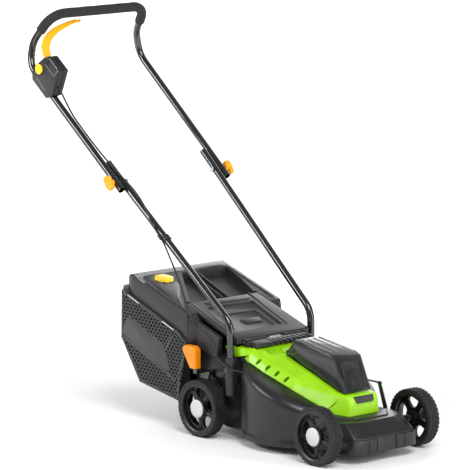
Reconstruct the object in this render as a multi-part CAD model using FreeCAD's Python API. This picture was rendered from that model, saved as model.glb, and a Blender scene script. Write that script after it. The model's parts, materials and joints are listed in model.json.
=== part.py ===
"""Cordless rotary lawn mower with a rear grass box, one STEP file per piece.

Millimetres, +X forward, +Y to the operator's left, +Z up, ground at z = 0.
The pieces are drawn with the front wheel axis at x = 0 and moved forward on saving,
so that the saved origin is on the ground under the middle of the whole machine.
"""
import FreeCAD
import Part
import math
import os

Vec = FreeCAD.Vector

# ---- driving dimensions ---------------------------------------------------------------
ORIGIN_TO_FRONT_AXLE = 528.0      # saved origin to the front wheel axis
FIT = 0.05                        # running clearance on a radius
GAP = 0.4                         # clear space between pieces that move past each other

WHEEL_RADIUS = 75.0
WHEEL_BASE = 444.0
WHEEL_INNER = 152.0               # y of a wheel's inner face
WHEEL_WIDTH = 36.0
AXLE_R = 6.0
CRANK_LENGTH = 50.0
CRANK_X = -47.0                   # pivot behind its wheel axis
CRANK_Z = 58.0                    # height of both axle pivots
ARM_Y = 124.5                     # middle of the upright link arms
LINK_Y = 130.5
LINK_X = -36.0                    # link eye behind its pivot
LINK_Z = 156.7
LINK_R = 2.5

DECK_X = -215.0                   # centre of the outer round deck wall
DECK_R = 176.0
DECK_BOTTOM = 20.0
SHOULDER_FRONT = (-60.0, 114.0)   # x, z of the sloping shoulder at its front
SHOULDER_SLOPE = 0.37
CHAMBER_X = -224.0                # cutter axis
CHAMBER_R = 163.0
ROOF_Z = 96.0
BLADE_R = 156.0
BLADE_Z = 35.0
SHAFT_R = 6.0
TUNNEL_Y = 120.0                  # outer half width of the rear tunnel
TUNNEL_END = -524.0
BUMPER_X = 76.0

TUBE_R = 10.0
TUBE_WALL = 1.6
TUBE_FOOT = (-363.0, 141.0, 171.0)
TUBE_BEND = (-363.0, 141.0, 305.5)
FOLD_X = -770.0
FOLD_Z = 633.4
LOWER_FOLD_Y = 164.0
UPPER_FOLD_Y = 186.0
GRIP_POINTS = ((-1122.0, 193.0, 914.0), (-1122.0, 181.0, 976.0), (-1063.0, 163.0, 1054.0))
FOAM_R = 13.5
BOLT_R = 3.0

LID_HINGE = (-259.0, 234.5)
LID_HALF = 46.0
FLAP_HINGE = (-352.0, 254.0)
FLAP_HALF = 127.0
FLAP_SLOPE = 0.325
BOX_HALF = 165.0
BOX_RIM_HALF = 171.0
CHEEK_INNER = 131.0
CHEEK_OUTER = 148.0

SWITCH_OUT = -208.0
SWITCH_SPLIT = -190.0
SWITCH_IN = -172.0
START_BUTTON = (-1061.0, 910.0)
LEVER_PIVOT = (-1040.0, 918.0)

CABLE_R = 2.5
CABLE_ROUTE = [
    (-1009.0, -190.0, 874.0), (-991.0, -190.0, 851.0), (-969.0, -190.5, 824.0),
    (-943.0, -190.5, 794.0), (-908.0, -189.5, 765.5), (-869.0, -188.5, 734.0),
    (-834.0, -183.5, 703.5), (-801.0, -177.5, 675.5), (-768.0, -172.0, 650.5),
    (-727.0, -167.5, 624.5), (-686.0, -167.0, 592.0), (-655.0, -171.5, 560.0),
    (-634.0, -173.0, 531.0), (-612.0, -170.5, 508.5), (-594.0, -168.5, 489.0),
    (-574.5, -168.0, 458.0), (-552.0, -167.0, 423.0), (-531.0, -165.5, 384.5),
    (-515.0, -164.0, 345.0), (-498.5, -162.5, 310.5), (-474.0, -162.0, 277.5),
    (-440.0, -163.5, 251.5), (-409.0, -164.0, 229.5), (-381.0, -163.5, 209.0),
    (-354.0, -160.0, 194.0), (-332.0, -150.5, 187.0), (-314.0, -137.5, 185.0),
]


# ---- shared geometry helpers ----------------------------------------------------------
def box(x0, x1, y0, y1, z0, z1):
    """Block between two corners."""
    return Part.makeBox(x1 - x0, y1 - y0, z1 - z0, Vec(x0, y0, z0))


def rod_y(radius, y0, y1, x, z):
    """Cylinder along Y."""
    return Part.makeCylinder(radius, y1 - y0, Vec(x, y0, z), Vec(0, 1, 0))


def rod_z(radius, z0, z1, x, y=0.0):
    """Cylinder along Z."""
    return Part.makeCylinder(radius, z1 - z0, Vec(x, y, z0), Vec(0, 0, 1))


def rod_between(radius, start, end):
    """Cylinder between two points."""
    axis = Vec(*end) - Vec(*start)
    return Part.makeCylinder(radius, axis.Length, Vec(*start), axis)


def plate_y(outline, y0, y1):
    """Plate whose outline is a list of (x, z), thick from y0 to y1."""
    points = [Vec(x, y0, z) for x, z in outline]
    face = Part.Face(Part.makePolygon(points + points[:1]))
    return face.extrude(Vec(0, y1 - y0, 0))


def slab_z(outline, z0, z1):
    """Slab whose outline is a list of (x, y), thick from z0 to z1."""
    points = [Vec(x, y, z0) for x, y in outline]
    face = Part.Face(Part.makePolygon(points + points[:1]))
    return face.extrude(Vec(0, 0, z1 - z0))


def loft(sections):
    """Ruled solid through closed polygons of equal point count."""
    wires = []
    for section in sections:
        points = [Vec(*p) for p in section]
        wires.append(Part.makePolygon(points + points[:1]))
    return Part.makeLoft(wires, True, True)


def symmetric_outline(half):
    """Close a list of (x, y) with y positive by mirroring it in y."""
    return list(half) + [(x, -y) for x, y in reversed(half)]


def mirrored(shape):
    """Copy on the other side of the machine."""
    return shape.mirror(Vec(0, 0, 0), Vec(0, 1, 0))


def on_side(shape, side):
    """The shape drawn on the left, for side +1, or its mirror image, for side -1."""
    return shape if side > 0 else mirrored(shape)


def both(shape):
    """A shape and its mirror image."""
    return [shape, mirrored(shape)]


def fused(shapes):
    """One solid made of touching shapes."""
    return shapes[0].multiFuse(shapes[1:]).removeSplitter()


def round_path(points, radii):
    """Wire of straight runs joined by tangent arcs of the given radii."""
    points = [Vec(*p) for p in points]
    edges = []
    start = points[0]
    for i, radius in enumerate(radii, 1):
        into = (points[i] - points[i - 1]).normalize()
        out = (points[i + 1] - points[i]).normalize()
        turn = into.getAngle(out)
        back = radius * math.tan(turn / 2)
        first = points[i] - into * back
        last = points[i] + out * back
        inward = (out - into).normalize()
        centre = points[i] + inward * (radius / math.cos(turn / 2))
        edges.append(Part.LineSegment(start, first).toShape())
        edges.append(Part.Arc(first, centre - inward * radius, last).toShape())
        start = last
    edges.append(Part.LineSegment(start, points[-1]).toShape())
    return Part.Wire(edges)


def pipe(path, radius, wall=0.0):
    """Round bar, or tube when a wall is given, along a wire."""
    start = path.Edges[0].Vertexes[0].Point
    axis = path.Edges[0].tangentAt(path.Edges[0].FirstParameter)

    def sweep(r):
        ring = Part.Wire(Part.makeCircle(r, start, axis))
        return path.makePipeShell([ring], True, True)

    outer = sweep(radius)
    return outer.cut(sweep(radius - wall)) if wall else outer


def keep(name, shape):
    """Move a finished piece to the saved origin and write its STEP file."""
    moved = shape.copy()
    moved.translate(Vec(ORIGIN_TO_FRONT_AXLE, 0, 0))
    if not moved.isValid() or moved.Volume <= 0:
        print("BAD", name, moved.isValid(), moved.Volume)
    moved.exportStep(os.path.join("parts", name + ".step"))
    print("%-20s solids %2d volume %10.0f mm3" % (name, len(moved.Solids), moved.Volume))


# ---- deck and chamber -----------------------------------------------------------------
def shoulder_z(x):
    """Height of the sloping deck shoulder above the ground."""
    return SHOULDER_FRONT[1] + SHOULDER_SLOPE * (SHOULDER_FRONT[0] - x)


def under_slope(offset):
    """Everything below the shoulder slope lowered by offset."""
    front = BUMPER_X
    rear = -420.0
    outline = [(front, -5), (front, shoulder_z(front) - offset),
               (rear, shoulder_z(rear) - offset), (rear, -5)]
    return plate_y(outline, -250, 250)


BUMPER_LOW = [(-170, 121), (36, 121), (69, 108), (BUMPER_X, 88)]
BUMPER_TOP = [(-170, 108), (6, 108), (26, 97), (40, 54)]
TUNNEL_SIDE = [(-300, 24), (-402, 24), (-470, 44), (-478, 46), (-506, 46), (-518, 60),
               (TUNNEL_END, 112), (TUNNEL_END, 222), (-440, 236), (-372, 242), (-300, 200)]
TUNNEL_AIR = [(-300, 14), (-378, 14), (-398, 40), (-520, 108), (TUNNEL_END - 4, 112),
              (TUNNEL_END - 4, 300), (-376, 300), (-362, 236), (-352, 120), (-340, ROOF_Z),
              (-300, ROOF_Z)]


def deck():
    """Deck moulding: round blade chamber, motor well, front nose and rear grass tunnel."""
    outer = rod_z(DECK_R, DECK_BOTTOM, 260, DECK_X).common(under_slope(0))
    skirt = rod_z(DECK_R + 3.5, DECK_BOTTOM, DECK_BOTTOM + 16, DECK_X)
    low = [(x, y, 24.0) for x, y in symmetric_outline(BUMPER_LOW)]
    mid = [(x, y, 62.0) for x, y in symmetric_outline(BUMPER_LOW)]
    top = [(x, y, 100.0) for x, y in symmetric_outline(BUMPER_TOP)]
    nose = fused([loft([low, mid]), loft([mid, top])])
    tunnel = plate_y(TUNNEL_SIDE, -TUNNEL_Y, TUNNEL_Y)
    body = fused([outer, skirt, nose, tunnel])
    chamber_wall = rod_z(CHAMBER_R + 4, DECK_BOTTOM, ROOF_Z + 5, CHAMBER_X)
    well = rod_z(DECK_R - 4, ROOF_Z + 5, 300, DECK_X).common(under_slope(4))
    well = well.cut(box(-450, -343, -250, 250, 0, 300))
    under = rod_z(DECK_R - 4, 0, ROOF_Z, DECK_X).cut(chamber_wall)
    under = under.cut(box(-450, -330, -250, 250, 0, 300))
    nose_low = [(-165, 117), (34, 117), (66, 105), (BUMPER_X - 4, 86)]
    nose_top = [(-165, 104), (4, 104), (23, 94), (36, 52)]
    hollow = fused([
        loft([[(x, y, 0.0) for x, y in symmetric_outline(nose_low)],
              [(x, y, 61.0) for x, y in symmetric_outline(nose_low)]]),
        loft([[(x, y, 61.0) for x, y in symmetric_outline(nose_low)],
              [(x, y, 96.0) for x, y in symmetric_outline(nose_top)]])])
    hollow = hollow.cut(chamber_wall)
    body = body.cut(under).cut(hollow).cut(well)
    body = body.cut(rod_z(CHAMBER_R, 0, ROOF_Z, CHAMBER_X))
    air = plate_y(TUNNEL_AIR, -TUNNEL_Y + 5, TUNNEL_Y - 5)
    body = body.cut(air)
    body = body.cut(box(-260, -45, -42, 42, ROOF_Z + 5, 300))
    body = body.cut(rod_z(70, ROOF_Z + 5, 300, CHAMBER_X))
    body = body.cut(rod_z(22, ROOF_Z - 5, 300, CHAMBER_X))
    channel = box(-345, -85, 126, 136, 147, 300)
    body = body.cut(channel)
    body = body.cut(rod_between(CABLE_R, CABLE_ROUTE[-2], CABLE_ROUTE[-1]))
    axle_room = plate_y([(-408, 0), (-408, 41.6), (-519, 103.5), (-519, 0)],
                        -TUNNEL_Y + 5, TUNNEL_Y - 5)
    body = body.cut(axle_room)
    for x in (CRANK_X, CRANK_X - WHEEL_BASE):
        body = body.cut(rod_y(10, -200, 200, x, CRANK_Z).cut(rod_y(11, -108, 108, x, CRANK_Z)))
    if len(body.Solids) > 1:
        body = max(body.Solids, key=lambda solid: solid.Volume)
    return body


def axle_bushes():
    """Four plain bushes that carry the cranked axles in the deck walls."""
    bushes = []
    for x in (CRANK_X, CRANK_X - WHEEL_BASE):
        outer = rod_y(10, 110, 122, x, CRANK_Z)
        bushes += both(outer.cut(rod_y(AXLE_R + FIT, 100, 130, x, CRANK_Z)))
    return Part.makeCompound(bushes)


def notch_rack():
    """Toothed height plate fixed to the tunnel wall beside the lever."""
    pivot = Vec(CRANK_X - WHEEL_BASE, -127.5, CRANK_Z)
    disc = Part.makeCylinder(104, 4.5, pivot, Vec(0, 1, 0))
    disc = disc.cut(Part.makeCylinder(84, 4.5, pivot, Vec(0, 1, 0)))
    wedge = plate_y([(pivot.x, CRANK_Z), (pivot.x - 20, 200), (pivot.x + 100, 200),
                     (pivot.x + 160, 118)], -135, -115)
    rack = disc.common(wedge)
    for step in range(5):
        angle = math.radians(14 + 10 * step)
        x = pivot.x + 104 * math.sin(angle)
        z = CRANK_Z + 104 * math.cos(angle)
        rack = rack.cut(rod_y(4, -130, -120, x, z))
    foot = box(pivot.x + 60, pivot.x + 80, -123, -TUNNEL_Y, 110, 130)
    return fused([rack, foot])


# ---- axles, height setting and wheels -------------------------------------------------
def crank(x_pivot):
    """Left crank arm and stub axle of one axle."""
    dx = -CRANK_X
    dz = WHEEL_RADIUS - CRANK_Z
    length = math.hypot(dx, dz)
    nx = -dz / length * 10
    nz = dx / length * 10
    bar = plate_y([(x_pivot + nx, CRANK_Z + nz), (x_pivot - nx, CRANK_Z - nz),
                   (x_pivot + dx - nx, WHEEL_RADIUS - nz),
                   (x_pivot + dx + nx, WHEEL_RADIUS + nz)], 136, 143)
    ends = [rod_y(10, 136, 143, x_pivot, CRANK_Z), rod_y(10, 136, 143, x_pivot + dx, WHEEL_RADIUS)]
    stub = rod_y(AXLE_R, 143, WHEEL_INNER + WHEEL_WIDTH - 3, x_pivot + dx, WHEEL_RADIUS)
    collar = rod_y(9, 143, WHEEL_INNER - GAP, x_pivot + dx, WHEEL_RADIUS)
    return fused([bar, stub, collar] + ends)


def link_arm(x_pivot):
    """Upright arm whose eye drives the link rod."""
    eye = (x_pivot + LINK_X, LINK_Z)
    arm = plate_y([(x_pivot - 7, CRANK_Z), (x_pivot + 7, CRANK_Z),
                   (eye[0] + 5, eye[1]), (eye[0] - 5, eye[1])], ARM_Y - 2, ARM_Y + 2)
    arm = fused([arm, rod_y(11, ARM_Y - 2, ARM_Y + 2, x_pivot, CRANK_Z),
                 rod_y(6, ARM_Y - 2, ARM_Y + 2, eye[0], eye[1])])
    return arm.cut(rod_y(LINK_R + FIT, 100, 140, eye[0], eye[1]))


def cranked_axle(x_pivot):
    """Axle shaft, both cranks and the upright link arm."""
    shaft = rod_y(AXLE_R, -137, 137, x_pivot, CRANK_Z)
    left = crank(x_pivot)
    return fused([shaft, left, mirrored(left), link_arm(x_pivot)])


def rear_axle():
    """Rear cranked axle with the flat height lever welded to its right end."""
    x = CRANK_X - WHEEL_BASE
    lever = plate_y([(x - 9, CRANK_Z), (x + 9, CRANK_Z), (-456, 168), (-470, 168)], -132, -128)
    boss = rod_y(12, -132, -128, x, CRANK_Z)
    tab = box(-470, -456, -177, -128, 164, 168)
    tang = box(-470, -456, -177, -172, 164, 196)
    return fused([cranked_axle(x), lever, boss, tab, tang])


def height_grip():
    """Moulded grip on the height lever."""
    low = [(-477, -185, 178), (-452, -185, 178), (-452, -163, 178), (-477, -163, 178)]
    high = [(-494, -188, 226), (-444, -188, 226), (-444, -161, 226), (-494, -161, 226)]
    cap = [(-488, -185, 236), (-450, -185, 236), (-450, -164, 236), (-488, -164, 236)]
    grip = fused([loft([low, high]), loft([high, cap])])
    return grip.cut(box(-470, -456, -177, -172, 170, 196))


def link_rod():
    """Bent rod that turns the front axle with the rear one."""
    rear = CRANK_X - WHEEL_BASE + LINK_X
    front = CRANK_X + LINK_X
    bar = rod_between(LINK_R, (rear, LINK_Y, LINK_Z), (front, LINK_Y, LINK_Z))
    hooks = [rod_y(LINK_R, ARM_Y - 3.5, LINK_Y, x, LINK_Z) for x in (rear, front)]
    knees = [Part.makeSphere(LINK_R, Vec(x, LINK_Y, LINK_Z)) for x in (rear, front)]
    return fused([bar] + hooks + knees)


def tyre(x, side):
    """Tread band of one wheel, with a slight crown."""
    y0 = WHEEL_INNER
    y1 = WHEEL_INNER + WHEEL_WIDTH
    crown = [(64, y0 + 1), (73.5, y0 + 1), (WHEEL_RADIUS, y0 + 3.5), (WHEEL_RADIUS, y1 - 3.5),
             (73.5, y1 - 1), (64, y1 - 1)]
    points = [Vec(x, y, WHEEL_RADIUS + r) for r, y in crown]
    face = Part.Face(Part.makePolygon(points + points[:1]))
    band = face.revolve(Vec(x, 0, WHEEL_RADIUS), Vec(0, 1, 0), 360)
    return on_side(band, side)


def rim(x, side):
    """Spoked wheel centre with a plain bore."""
    y0 = WHEEL_INNER
    y1 = WHEEL_INNER + WHEEL_WIDTH
    ring = rod_y(64, y0 + 1, y1 - 1, x, WHEEL_RADIUS).cut(rod_y(56, y0, y1, x, WHEEL_RADIUS))
    hub = rod_y(17, y0, y1 - 4, x, WHEEL_RADIUS)
    web = rod_y(57, y0 + 12, y0 + 22, x, WHEEL_RADIUS)
    for spoke in range(5):
        middle = math.radians(90 + 72 * spoke)
        half = math.radians(23)
        window = []
        for radius, swing in ((26, -half), (50, -half), (54, 0), (50, half), (26, half)):
            window.append((x + radius * math.cos(middle + swing),
                           WHEEL_RADIUS + radius * math.sin(middle + swing)))
        web = web.cut(plate_y(window, y0, y1))
    wheel = fused([ring, hub, web]).cut(rod_y(AXLE_R + FIT, y0 - 5, y1 + 5, x, WHEEL_RADIUS))
    return on_side(wheel, side)


def hub_cap(x, side):
    """Round domed cap over the axle end."""
    y1 = WHEEL_INNER + WHEEL_WIDTH
    disc = rod_y(24, y1 - 2.5, y1 + 1, x, WHEEL_RADIUS)
    dome = Part.makeCone(24, 20, 2, Vec(x, y1 + 1, WHEEL_RADIUS), Vec(0, 1, 0))
    return on_side(fused([disc, dome]), side)


# ---- cutter and drive -----------------------------------------------------------------
def motor_can():
    """Motor body standing on the chamber roof."""
    can = rod_z(45, ROOF_Z + 5, 166, CHAMBER_X)
    flange = rod_z(62, ROOF_Z + 5, ROOF_Z + 9, CHAMBER_X)
    bore = rod_z(13, ROOF_Z, 170, CHAMBER_X)
    motor = fused([can, flange]).cut(bore)
    for x, y in screw_circle():
        motor = motor.cut(rod_z(2.6, ROOF_Z, 120, x, y))
    return motor


def screw_circle():
    """Centres of the four motor screws."""
    angles = [math.radians(45 + 90 * i) for i in range(4)]
    return [(CHAMBER_X + 54 * math.cos(a), 54 * math.sin(a)) for a in angles]


def motor_screws():
    """Four flange screws."""
    screws = []
    for x, y in screw_circle():
        screws.append(fused([rod_z(2.5, ROOF_Z + 5, ROOF_Z + 9, x, y),
                             rod_z(4.5, ROOF_Z + 9, ROOF_Z + 13, x, y)]))
    return Part.makeCompound(screws)


def motor_bearings():
    """Two ball bearings in the motor can."""
    rings = []
    for z in (106, 150):
        ring = rod_z(13, z, z + 8, CHAMBER_X)
        rings.append(ring.cut(rod_z(SHAFT_R + FIT, z - 1, z + 9, CHAMBER_X)))
    return Part.makeCompound(rings)


def rotor_shaft():
    """Motor shaft with its rotor between the bearings."""
    shaft = rod_z(SHAFT_R, BLADE_Z + 3, 162, CHAMBER_X)
    return fused([shaft, rod_z(12.2, 115, 149, CHAMBER_X)])


def blade_carrier():
    """Finned boss that drives the blade."""
    boss = rod_z(16, BLADE_Z + 3, 90, CHAMBER_X)
    disc = rod_z(38, BLADE_Z + 3, BLADE_Z + 8, CHAMBER_X)
    fins = []
    for i in range(6):
        fin = box(CHAMBER_X + 14, CHAMBER_X + 36, -1.5, 1.5, BLADE_Z + 8, 62)
        fin.rotate(Vec(CHAMBER_X, 0, 0), Vec(0, 0, 1), 60 * i + 30)
        fins.append(fin)
    return fused([boss, disc] + fins).cut(rod_z(SHAFT_R, BLADE_Z, 95, CHAMBER_X))


def cutting_blade():
    """Flat steel blade with raised sail tips."""
    blade = box(CHAMBER_X - BLADE_R, CHAMBER_X + BLADE_R, -24, 24, BLADE_Z, BLADE_Z + 3)
    blade = blade.common(rod_z(BLADE_R, BLADE_Z - 1, BLADE_Z + 5, CHAMBER_X))
    sails = []
    for turn in (0, 180):
        sail = blade_sail()
        sail.rotate(Vec(CHAMBER_X, 0, 0), Vec(0, 0, 1), turn)
        sails.append(sail)
    return fused([blade] + sails).cut(rod_z(5, 0, 60, CHAMBER_X))


def blade_sail():
    """One upturned trailing edge of the blade."""
    x0 = CHAMBER_X + 100
    x1 = CHAMBER_X + 150
    section = [(x0, 14, BLADE_Z), (x0, 24, BLADE_Z + 12), (x0, 24, BLADE_Z + 15),
               (x0, 11, BLADE_Z + 3), (x0, 11, BLADE_Z)]
    return loft([section, [(x1, y, z) for _, y, z in section]])


def blade_bolt():
    """Blade bolt with a washer head, screwed up into the shaft end."""
    head = Part.makeCylinder(9, 6, Vec(CHAMBER_X, 0, BLADE_Z - 8), Vec(0, 0, 1))
    washer = rod_z(15, BLADE_Z - 2, BLADE_Z, CHAMBER_X)
    return fused([head, washer, rod_z(5, BLADE_Z, BLADE_Z + 3, CHAMBER_X)])


# ---- motor cover, battery and lid -----------------------------------------------------
COVER_SECTIONS = [
    # x, (half width, z) at foot, flank and crown
    (-8, (50, 104), (47, 128), (36, 142)),
    (-16, (56, 105), (52, 150), (42, 156)),
    (-38, (64, 109), (56, 152), (49, 157)),
    (-60, (70, 114.5), (62, 154), (50, 161)),
    (-160, (88, 151.5), (85, 172), (52, 195)),
    (-264, (106, 190), (103, 211), (58, 229)),
    (-318, (114, 210.5), (112, 234), (96, 244)),
    (-368, (118, 229.5), (117, 239), (100, 245)),
]


def cover_solid(inset, drop):
    """Outside of the motor cover, or its inside when inset and lowered."""
    sections = []
    for x, foot, flank, crown in COVER_SECTIONS:
        half = [(foot[0] - inset, foot[1] - 2 * drop), (flank[0] - inset, flank[1] - drop),
                (crown[0] - inset, crown[1] - drop)]
        right = [(x, y, z) for y, z in half]
        left = [(x, -y, z) for y, z in reversed(half)]
        sections.append(right + left)
    spans = []
    for first, second in zip(sections, sections[1:]):
        spans.append(loft([first, second]))
    return fused(spans)


def motor_cover(deck_solid):
    """Green cover: a thin shell with an open battery bay and slanted side vents."""
    shell = cover_solid(0, 0)
    inner = cover_solid(3, 3).common(box(-363, -12, -130, 130, 80, 300))
    shell = shell.cut(inner)
    shell = shell.cut(under_slope(-GAP))
    shell = shell.cut(box(-256, -40, -42, 42, 100, 300))
    shell = shell.cut(plate_y([(-300, 262), (-332, 228), (-420, 228), (-420, 300), (-300, 300)],
                              -104, 104))
    for i in range(4):
        x = -196 - 30 * i
        z = shoulder_z(x) + 15
        slot = box(x - 3.5, x + 3.5, -130, 130, z - 6, z + 6)
        slot.rotate(Vec(x, 0, z), Vec(0, 1, 0), 30)
        shell = shell.cut(slot.cut(box(-400, 0, -70, 70, 0, 300)))
    ear = plate_y([(-322, 226), (-340, 244), (-372, 244.5), (-402, 243), (-394, 224), (-360, 216)],
                  TUNNEL_Y + GAP, TUNNEL_Y + 6.5)
    strap = plate_y([(-322, 226), (-338, 243), (-364, 244), (-364, 222)], 112, TUNNEL_Y + 2)
    shell = fused([shell, lid_lug(1), lid_lug(-1)] + both(ear) + both(strap))
    shell = shell.cut(deck_solid).cut(hinge_grille())
    if len(shell.Solids) > 1:
        shell = max(shell.Solids, key=lambda solid: solid.Volume)
    return shell


def badge():
    """Blank trim plate on the cover's nose."""
    slope = loft([[(-8.5, -24, 129), (-8.5, 24, 129), (-6.5, 24, 129), (-6.5, -24, 129)],
                  [(-14.5, -27, 146), (-14.5, 27, 146), (-12.5, 27, 146), (-12.5, -27, 146)]])
    return slope.cut(cover_solid(0, 0))


def battery_cradle():
    """Tray and contact block that hold the battery in its bay."""
    floor_front = (-46, 141)
    floor_rear = (-252, 205)
    tray = plate_y([floor_front, floor_rear, (-252, 198), (-46, 134)], -41, 41)
    sides = []
    for part in both(box(-250, -48, 38.5, 41, 134, 222)):
        sides.append(part.common(plate_y([(-46, 134), (-46, 150), (-252, 214), (-252, 198)],
                                         -50, 50)))
    contact = box(-252, -240, -20, 20, 200, 224)
    return fused([tray, contact] + sides)


def battery_pack():
    """Slide-in battery with a raised latch back."""
    return plate_y([(-70, 151), (-70, 196), (-102, 234), (-212, 252), (-236, 228),
                    (-236, 202.5)], -36, 36)


def battery_lid():
    """Clear hinged lid, a shell open underneath."""
    shell = plate_y(LID_OUTLINE, -LID_HALF, LID_HALF)
    inner = plate_y(LID_INSIDE, -LID_HALF + 2.5, LID_HALF - 2.5)
    knuckles = []
    for y in (-LID_HALF, LID_HALF - 14):
        knuckles.append(rod_y(5, y, y + 14, *LID_HINGE))
        knuckles.append(plate_y([(-259, 233), (-250, 231), (-244, 243), (-253, 238)], y, y + 14))
    bore = rod_y(2.5 + FIT, -60, 60, *LID_HINGE)
    return fused([shell.cut(inner)] + knuckles).cut(bore)


LID_OUTLINE = [(-258, 232), (-222, 273), (-88, 254), (-70, 245), (-30, 160), (-40, 159.8),
               (-56, 163.5), (-216, 219), (-250, 231)]
LID_INSIDE = [(-253, 232.6), (-220.8, 269.6), (-88.9, 251), (-72, 242.6), (-33.4, 160.5),
              (-30, 150), (-58, 150), (-218, 210), (-250, 224)]


def lid_hinge_pin():
    """Steel pin of the battery lid, held in the cover's crown."""
    return rod_y(2.5, -51, 51, *LID_HINGE)


def lid_lug(side):
    """Lug on the cover's crown that carries one end of the lid pin."""
    lug = plate_y([(-267, 224), (-251, 220), (-254, 240), (-264, 240)], LID_HALF + GAP, 51)
    return on_side(lug.cut(rod_y(2.5, -60, 60, *LID_HINGE)), side)


def controller():
    """Motor control box behind the motor."""
    body = box(-336, -290, -40, 40, ROOF_Z + 5, 150)
    fins = [box(-332, -294, y, y + 3, 150, 158) for y in range(-36, 37, 9)]
    return fused([body] + fins)


def hinge_grille():
    """Dark slotted strip between the cover and the rear flap."""
    strip = plate_y([(-303, 247), (-331, 229), (-341, 229), (-341, 250), (-334, 259),
                     (-308, 254)], -98, 98)
    for i in range(8):
        y = 78 - 17 * i
        slot = box(-326, -306, y - 3.5, y + 3.5, 235, 265)
        slot.rotate(Vec(-316, y, 250), Vec(0, 0, 1), 28)
        strip = strip.cut(slot)
    ears = []
    for ear in both(box(-362, -338, 99.5, 104, 240, 262)):
        ears.append(ear.cut(rod_y(3, -110, 110, *FLAP_HINGE)))
    bridges = both(box(-341, -333, 96, 104, 240, 256))
    return fused([strip] + ears + bridges)


# ---- rear flap and grass box ----------------------------------------------------------
def box_top(x, lower=0.0):
    """Height of the sloping top of grass box and flap."""
    return 262 + FLAP_SLOPE * (-350 - x) - lower


def rear_flap():
    """Sprung discharge flap lying on the grass box."""
    top = [(-352, box_top(-352)), (-558, box_top(-558)), (-560, box_top(-560, 8)),
           (-556, box_top(-556, 13)), (-420, box_top(-420, 13)), (-352, 247)]
    plate = plate_y(top, -FLAP_HALF, FLAP_HALF)
    recess = plate_y([(-400, box_top(-400, 4)), (-505, box_top(-505, 4)),
                      (-505, 400), (-400, 400)], -88, 88)
    hollow = plate_y([(-372, box_top(-372, 8)), (-550, box_top(-550, 8)),
                      (-550, box_top(-550, 40)), (-372, box_top(-372, 40))], -122, 122)
    hollow = hollow.cut(plate_y([(-390, box_top(-390, 9)), (-515, box_top(-515, 9)),
                                 (-515, 400), (-390, 400)], -92, 92))
    flap = plate.cut(recess).cut(hollow)
    barrel = rod_y(7, -97, 97, *FLAP_HINGE)
    flap = fused([flap, barrel])
    flap = flap.cut(rod_y(3 + FIT, -130, 130, *FLAP_HINGE))
    for notch in both(box(-369, -338, 97.2, 106.4, 230, 280)):
        flap = flap.cut(notch)
    spring_room = rod_y(9, -30, 30, *FLAP_HINGE)
    return flap.cut(spring_room)


def flap_hinge_rod():
    """Steel rod through the flap and its two ears."""
    return rod_y(3, -106, 106, *FLAP_HINGE)


def flap_spring():
    """Torsion spring coiled round the flap rod."""
    coil = Part.makeHelix(2.6, 39, 5.0)
    start = Vec(5.0, 0, 0)
    ring = Part.Wire(Part.makeCircle(0.9, start, Vec(0, 1, 0)))
    spring = Part.Wire(coil).makePipeShell([ring], True, True)
    spring.rotate(Vec(0, 0, 0), Vec(1, 0, 0), -90)
    spring.translate(Vec(FLAP_HINGE[0], -19.5, FLAP_HINGE[1]))
    return spring


RIM_MIDDLE_REAR = (-780.0, 347.0)
RIM_FALL = 0.3635
BOX_SIDE = [(-740, 388.5), (-752, 384), (-782, 349), (-778, 344), (-536, 257), (-508, 236),
            (-508, 313.2)]


def grass_box_shell():
    """Moulded top of the grass box with its rim and forward cheeks."""
    outer = plate_y(BOX_SIDE, -BOX_HALF, BOX_HALF)
    rim_line = [(-782, 353), (-784, 346), (-778, 341), (-536, 254), (-504, 230), (-504, 240),
                (-536, 263)]
    band = plate_y(rim_line, -BOX_RIM_HALF, BOX_RIM_HALF)
    inner = plate_y([(-738, 385), (-750, 381), (-779, 348), (-790, 330), (-500, 200),
                     (-500, 306)], -BOX_HALF + 3, BOX_HALF - 3)
    dished = plate_y([(-566, box_top(-566, 14)), (-480, box_top(-480, 14)), (-480, 400),
                      (-566, 400)], -FLAP_HALF - 1.5, FLAP_HALF + 1.5)
    pan = plate_y([(-570, box_top(-570, 17.5)), (-505, box_top(-505, 17.5)),
                   (-505, 400), (-570, 400)], -FLAP_HALF - 4.5, FLAP_HALF + 4.5)
    shell = fused([outer, band]).cut(inner.cut(pan)).cut(dished)
    shell = shell.cut(box(-530, -490, -TUNNEL_Y - 1.5, TUNNEL_Y + 1.5, 150, 285))
    cheek = plate_y([(-509, 300), (-402, 264), (-410, 212), (-430, 209), (-509, 236)],
                    CHEEK_INNER, CHEEK_OUTER)
    wedge = loft([[(-506, 131, 236), (-506, 165, 236), (-506, 165, 300), (-506, 131, 300)],
                  [(-494, 131, 231), (-494, 148, 231), (-494, 148, 295), (-494, 131, 295)]])
    cheeks = both(fused([cheek, wedge]))
    return fused([shell] + cheeks + fill_hinge_lugs())


BASKET_SIDE = [(-774, 342.4), (-776, 214), (-702, 106), (-547, 78), (-543, 145), (-508, 231),
               (-536, 255.5)]


def grass_basket():
    """Perforated lower half of the grass box, open at the top and at its front mouth."""
    outer = plate_y(BASKET_SIDE, -161.5, 161.5)
    inner = plate_y([(-771, 400), (-773, 215), (-700, 109), (-550, 81.6), (-546, 145.5),
                     (-511, 231), (-500, 400)], -158.5, 158.5)
    mouth = box(-560, -500, -TUNNEL_Y - 1.5, TUNNEL_Y + 1.5, 100, 300)
    return outer.cut(inner).cut(mouth)


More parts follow.
